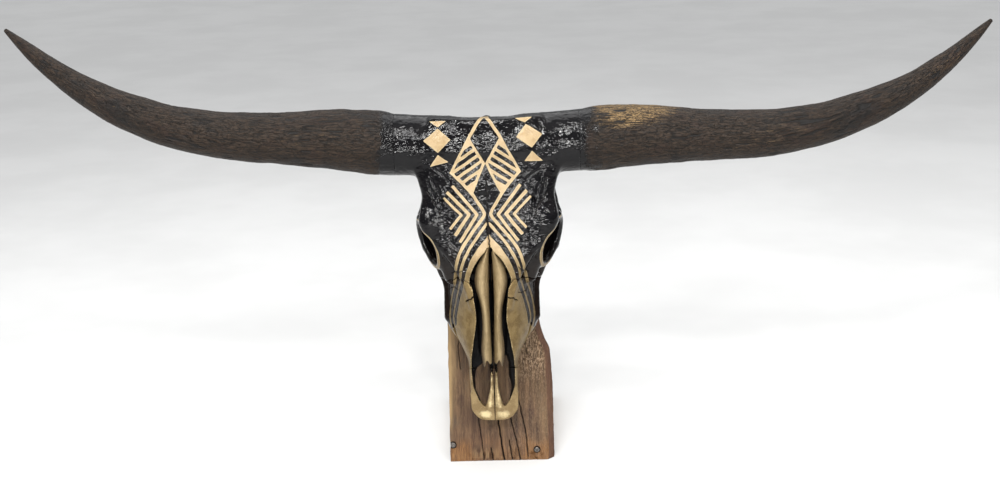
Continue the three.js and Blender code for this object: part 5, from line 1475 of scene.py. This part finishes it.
jx = x + 0.8 * vnoise(np.stack([x * 0, s / 9.0, n * 0], 1), 89) + 1.6 * vnoise(np.stack([x * 0 + 5, s / 34.0, n * 0], 1), 90)
for line, hwid, dep in CHECKS:
    dist = segments(jx, s, line)
    crk[front] = np.minimum(crk[front], dist[front] - hwid + 0.45)
    dent = np.maximum(dent, np.where(front, dep * (1 - sstep(dist, hwid * 0.55, hwid * 1.9)), 0))
    ends = (c == 0) | (c == 1)
face_in = 0.35 + 0.55 * (grain * 0.5 + 0.5) + 0.8 * (broad * 0.5 + 0.5) + roughzone * 1.5 * (rough * 0.5 + 0.5) + dent
# splinters torn out along the bottom edge of the face
torn = np.maximum(vnoise(np.stack([x / 3.4, s / 9.0, s * 0], 1), 91) + 0.25 * np.sign(bump(x, -12, 14) + bump(x, 30, 16) + bump(x, 68, 12) - 0.2) - 0.05, 0)
torn *= (1 - sstep(s, 4, 26)) * front
face_in += 6.5 * torn
back_in = 0.25 + 0.4 * (grain * 0.5 + 0.5) + 0.4 * (broad * 0.5 + 0.5)
keepx = sstep(np.minimum(x - xl, xr - x), 0.2, 1.6)
keeps = sstep(s - s0, 0.3, 2.5) * sstep(PLANK_LENGTH - 0.4 - s, 0.3, 2.5)
pts[:, 1] -= np.where(front, face_in * keepx * (keeps * 0.9 + 0.1), 0)
pts[:, 1] += np.where(rear, back_in * keepx * keeps, 0)
sidein = 0.2 + 0.5 * (grain * 0.5 + 0.5)
edge_l, edge_r = a == 0, a == 1
barky = 1.6 * (fbm(np.stack([n / 5.0, s / 10.0, x * 0], 1), 92, 3, 0.6) * 0.5 + 0.5)
keepn = sstep(np.minimum(-n, n + PLANK_THICK), 0.2, 2.0)
pts[:, 0] += np.where(edge_l, sidein * keepn * keeps, 0)
pts[:, 0] -= np.where(edge_r, (sidein + barky) * keepn * keeps, 0)
pts[:, 2] = np.where(c == 0, np.maximum(pts[:, 2], -pts[:, 1] * math.tan(LEAN)), pts[:, 2])
tone = np.full(len(x), 0.5)
tone += 0.42 * (1 - sstep(x, -78, -70)) * sstep(s, 20, 90) * front
tone += 0.20 * (1 - sstep(x, -70, -60)) * sstep(s, 60, 110) * front
# painted shade on the plank round the muzzle: a dark band beside it on the steer's right, and dark patches by its lower
# corners
tone -= 0.30 * bump(x, -46, 20) * sstep(s, 130, 200) * (1 - sstep(s, 420, 520))
tone -= 0.42 * bump(x, -40, 22) * bump(s, 80, 34)
tone -= 0.20 * bump(x, 46, 34) * bump(s, 66, 30)
tone += 0.10 * bump(x, 50, 40) * bump(s, 250, 130)
tone += 0.30 * front * (1 - sstep(s, 3, 9)) * (0.5 + 0.5 * vnoise(np.stack([x / 4.0, s * 0, s * 0], 1), 95))
tone -= 0.35 * torn * 2
tone += 0.15 * bump(s, 12, 14) * front * (x < 4)
tone -= 0.22 * (front & (s < 5))
tone = tone + 0.10 * broad
red = 0.95 * sstep(a, 0.985, 0.996) * (1 - sstep(s, 350, 400)) + 0.30 * bump(s, 30, 46) + 0.25 * bump(x, 60, 40) * bump(s, 150, 120)
red += 0.3 * bump(x, -42, 26) * bump(s, 78, 40)
red = np.clip(red + 0.12 * vnoise(gp / 25.0, 93), 0, 1) * (b < 0.8)
# the two screws bite into the face
W = plank_to_world(np.stack([pts[:, 0], pts[:, 2], pts[:, 1]], 1))
SCREWS = [("screw_left", -74.0, 28.0), ("screw_right", 69.5, 17.0)]
for sname, sx, sup in SCREWS:
    cz = sup * math.cos(LEAN)
    dist = np.hypot(W[:, 0] - SHIFT[0] - sx, W[:, 2] - cz)
    ys = sup * math.sin(LEAN) + SHIFT[1]
    push = np.where(front, np.maximum(0, 1.6 * (1 - sstep(dist, 4.6, 6.6))), 0)
    hole = front & (dist < 5.3)
    target = ys + 0.9 + 2.6 * (1 - sstep(dist, 3.0, 5.2))
    W[:, 1] = np.where(hole, np.maximum(W[:, 1], target), W[:, 1] + push * 0.6)
    # painted shade: a dark ring on the wood round each screw head, in its sunken hole
    crk = np.where(front, np.minimum(crk, np.abs(dist - 4.9) - 0.4), crk)
W[:, 2] = np.maximum(W[:, 2], 0.0)
W[:, 2] = np.where(c == 0, 0.0, W[:, 2])
orange = front * np.clip(0.85 * (1 - sstep(s, 14, 44)) * (sstep(x, 40, 56) + 1 - sstep(x, -52, -34)) + 0.35 * (1 - sstep(s, 10, 40)) + 0.25 * vnoise(gp / 18.0, 94) * (1 - sstep(s, 30, 60)), 0, 1)
mott = front * np.clip(roughzone + 0.15 * (x > 20), 0, 1)
piece("plank_board", W, outward(W, Q), "plank", "reclaimed_wood", OLD, gr=gp, tone=np.clip(tone, 0, 1), red=red, crk=crk, orange=orange, mott=mott)

# the foot board: lies flat, its front end cut to the plank's lean
xs, ns, ss = np.linspace(0, 1, 100), np.linspace(0, 1, 130), np.linspace(0, 1, 26)
P, Q = block(xs, ns, ss)
a, b, c = P.T
z = c * FOOT_THICK
x = PLANK_LEFT + 1 + a * (PLANK_RIGHT - 1 - (PLANK_LEFT + 1))
y0 = PLANK_THICK / math.cos(LEAN) + 0.6 + z * math.tan(LEAN)
y1 = PLANK_THICK / math.cos(LEAN) + FOOT_REACH
y = y0 + b * (y1 - y0)
pts = np.stack([x, y, z], 1)
r = 1.8 + 0.7 * vnoise(pts / 20.0, 101)
pts = soften(pts, [(x - x.min(), x.max() - x), (y - y0, y1 - y), (z, FOOT_THICK - z)], r)
gp = np.stack([x, y * 1.0, z], 1)
grain = fbm(np.stack([x / 3.0, y / 60.0, z / 6.0], 1), 102, 3, 0.6) * 0.5 + 0.5
saw = 0.5 + 0.5 * np.sin(y / 1.9 + 1.2 * vnoise(pts / 25.0, 103))
inn = 0.12 + 0.35 * grain + 0.10 * saw
kx = sstep(np.minimum(x - x.min(), x.max() - x), 0.2, 2)
ky = sstep(np.minimum(y - y0, y1 - y), 0.2, 2)
kz = sstep(np.minimum(z, FOOT_THICK - z), 0.2, 2)
pts[:, 2] -= np.where(c == 1, inn * kx * ky, 0)
pts[:, 0] += np.where(a == 0, inn * ky * kz, 0) - np.where(a == 1, inn * ky * kz, 0)
pts[:, 1] -= np.where(b == 1, inn * kx * kz, 0)
pts[:, 2] = np.maximum(pts[:, 2], 0)
W = pts + SHIFT
piece("foot_board", W, outward(W, Q), "stand_base", "stand_wood", PLAIN, gr=gp)


# ------------------------------------------------------------------ fixings
def closed(fn, lo_, hi_, h):
    d, o = sample(fn, lo_, hi_, h)
    for k in range(3):
        edge = [slice(None)] * 3
        for e in (0, -1):
            edge[k] = e
            d[tuple(edge)] = np.maximum(d[tuple(edge)], 0.05)
    v, q = surface_nets(d, o, h)
    return largest(v, q)


def screw_shape(x, y, z):
    """z runs back from the head's face at 0 to the point at -72."""
    r = np.hypot(x, z * 0 + y)
    head = np.maximum(r - prof(z, [[-4.2, 2.0], [-4, 2.2], [-0.9, 4.35], [0, 4.35]]), np.maximum(z, -4.5 - z))
    head = np.maximum(head, r * 0.30 + z - 1.05)
    slot1 = np.maximum(np.abs(x) - (0.62 + 0.16 * z), np.abs(y) - (2.35 + 0.5 * z))
    slot2 = np.maximum(np.abs(y) - (0.62 + 0.16 * z), np.abs(x) - (2.35 + 0.5 * z))
    cross = np.maximum(np.minimum(slot1, slot2), -2.4 - z)
    head = np.maximum(head, -cross)
    turn = np.mod(z / 2.6 - np.arctan2(y, x) / (2 * np.pi), 1.0)
    thread = 0.62 * (1 - np.abs(turn * 2 - 1)) * sstep(-z, 5, 9)
    core = prof(z, [[-71.5, 0.05], [-66, 1.5], [-60, 1.55], [-5, 1.6], [0, 1.6]])
    shank = np.maximum(r - core - thread * sstep(-z, 0, 6) * (1 - sstep(-z, 68, 71)), np.maximum(z + 1, -71.6 - z))
    return np.minimum(head, shank * 0.8)


v, q = closed(screw_shape, (-5, -5, -72.4), (5, 5, 0.8), 0.30)
for sname, sx, sup in SCREWS:
    turnby = math.radians(24 if sname == "screw_left" else -38)
    xr_, yr_ = v[:, 0] * math.cos(turnby) - v[:, 1] * math.sin(turnby), v[:, 0] * math.sin(turnby) + v[:, 1] * math.cos(turnby)
    W = np.stack([sx + xr_, sup * math.sin(LEAN) - 0.2 - v[:, 2], sup * math.cos(LEAN) + yr_], 1) + SHIFT
    piece(sname + "_fixing", W, outward(W, q), sname, "screw_steel", ZINC, gr=v)


def bolt_shape(x, y, z):
    """z runs out of the plank's back: washer from 0, head above it, shank below."""
    r = np.hypot(x, y)
    washer = np.maximum(r - 8.95, np.maximum(z - 1.55, 0.02 - z))
    hexr = np.maximum(np.abs(x) * math.cos(math.radians(30)) + np.abs(y) * 0.5, np.abs(y)) - 6.35
    head = np.maximum(hexr, np.maximum(z - 6.9, 1.4 - z))
    head = np.maximum(head, (r - 6.5) * 0.5 + z - 6.5)
    turn = np.mod(z / 1.6 - np.arctan2(y, x) / (2 * np.pi), 1.0)
    core = 3.95 - 0.75 * (1 - np.abs(turn * 2 - 1)) * sstep(-z, 46, 52)
    shank = np.maximum(r - core, np.maximum(z - 3, -118.6 - z))
    shank = np.maximum(shank, (r - 2.2) * 0.7 - z - 117.5)
    return np.minimum(np.minimum(washer, head), shank)


v, q = closed(bolt_shape, (-9.6, -9.6, -119.8), (9.6, 9.6, 7.6), 0.45)
W = plank_to_world(np.stack([v[:, 0], 468.0 + v[:, 1], -(PLANK_THICK + 0.3) - v[:, 2]], 1))
piece("fixing_bolt_steel", W, outward(W, q), "fixing_bolt", "screw_steel", ZINC, gr=v)

# ------------------------------------------------------------------ floor and light
me = bpy.data.meshes.new("floor")
me.from_pydata([(-14, -9, 0), (14, -9, 0), (14, 16, 0), (-14, 16, 0)], [], [(0, 1, 2, 3)])
floor = bpy.data.objects.new("floor", me)
bpy.context.scene.collection.objects.link(floor)
fm = Nodes("pale_floor")
tc = fm.t.nodes.new("ShaderNodeTexCoord").outputs["Object"]
fcol = fm.mix((0.62, 0.62, 0.615), (0.66, 0.66, 0.655), fm.step(fm.noise(tc, 2.2, 3, 0.6), 0.35, 0.65))
me.materials.append(fm.end(fcol, 0.62, fm.bump(fm.noise(tc, 180, 3, 0.6), 0.0003, 0.4), Specular_IOR_Level=0.3))

bpy.context.scene.view_settings.view_transform = "Standard"
world = bpy.data.worlds.new("studio")
bpy.context.scene.world = world
world.use_nodes = True
bg = world.node_tree.nodes["Background"]
wt = world.node_tree
sky = wt.nodes.new("ShaderNodeTexCoord").outputs["Generated"]
sep = wt.nodes.new("ShaderNodeSeparateXYZ")
wt.links.new(sky, sep.inputs[0])
ramp = wt.nodes.new("ShaderNodeMapRange")
ramp.interpolation_type = "SMOOTHSTEP"
wt.links.new(sep.outputs[2], ramp.inputs[0])
for k_, q_ in enumerate((0.0, 1.0, 0.24, 0.85)):
    ramp.inputs[k_ + 1].default_value = q_
bg.inputs[0].default_value = (0.96, 0.97, 0.985, 1)
wt.links.new(ramp.outputs[0], bg.inputs[1])


def lamp(name, place, aim, size, power, color=(1, 1, 1), size_y=None):
    li = bpy.data.lights.new(name, "AREA")
    li.shape = "RECTANGLE"
    li.size, li.size_y = size, size_y or size
    li.energy, li.color = power, color
    ob = bpy.data.objects.new(name, li)
    d = np.array(aim, float) - np.array(place, float)
    d /= np.linalg.norm(d)
    z = -d
    x = np.cross([0, 0, 1.0], z)
    x = x / np.linalg.norm(x) if np.linalg.norm(x) > 1e-6 else np.array([1.0, 0, 0])
    y = np.cross(z, x)
    ob.matrix_world = Matrix([[x[0], y[0], z[0], place[0]], [x[1], y[1], z[1], place[1]], [x[2], y[2], z[2], place[2]], [0, 0, 0, 1]])
    bpy.context.scene.collection.objects.link(ob)


sun = bpy.data.lights.new("sky", "SUN")
sun.energy, sun.angle = 0.70, math.radians(14)
so = bpy.data.objects.new("sky", sun)
so.matrix_world = Matrix.Rotation(math.radians(-14), 4, "Z") @ Matrix.Rotation(math.radians(46), 4, "X")
bpy.context.scene.collection.objects.link(so)
for k_, (x_, z_, p_) in enumerate(((-0.60, 0.60, 5.5), (-0.12, 0.80, 7.0), (0.16, 0.74, 7.0), (0.60, 0.60, 5.5))):
    lamp("front_%d" % k_, (x_, -2.25, z_), (0, 0, 0.45), 0.13, p_, (1.0, 0.99, 0.97))
for k_, (x_, y_, z_, p_) in enumerate(((-1.05, -1.75, 1.75, 12.0), (0.05, -1.8, 2.0, 14.0), (1.10, -1.7, 1.85, 12.0))):
    lamp("high_%d" % k_, (x_, y_, z_), (0, 0, 0.5), 0.15, p_, (1.0, 0.99, 0.97))
lamp("strip", (0.0, -1.05, 2.2), (0, 0, 0.5), 0.9, 12, (1.0, 0.99, 0.97), 0.12)
lamp("side_left", (-2.6, -0.3, 1.9), (0, 0, 0.4), 0.3, 12, (1.0, 1.0, 1.0), 0.8)
lamp("side_right", (2.6, -0.2, 1.9), (0, 0, 0.4), 0.3, 12, (1.0, 1.0, 1.0), 0.8)
lamp("rear", (0.0, 0.95, 2.25), (0, 0, 0.55), 3.6, 34, (1, 1, 1), 1.7)
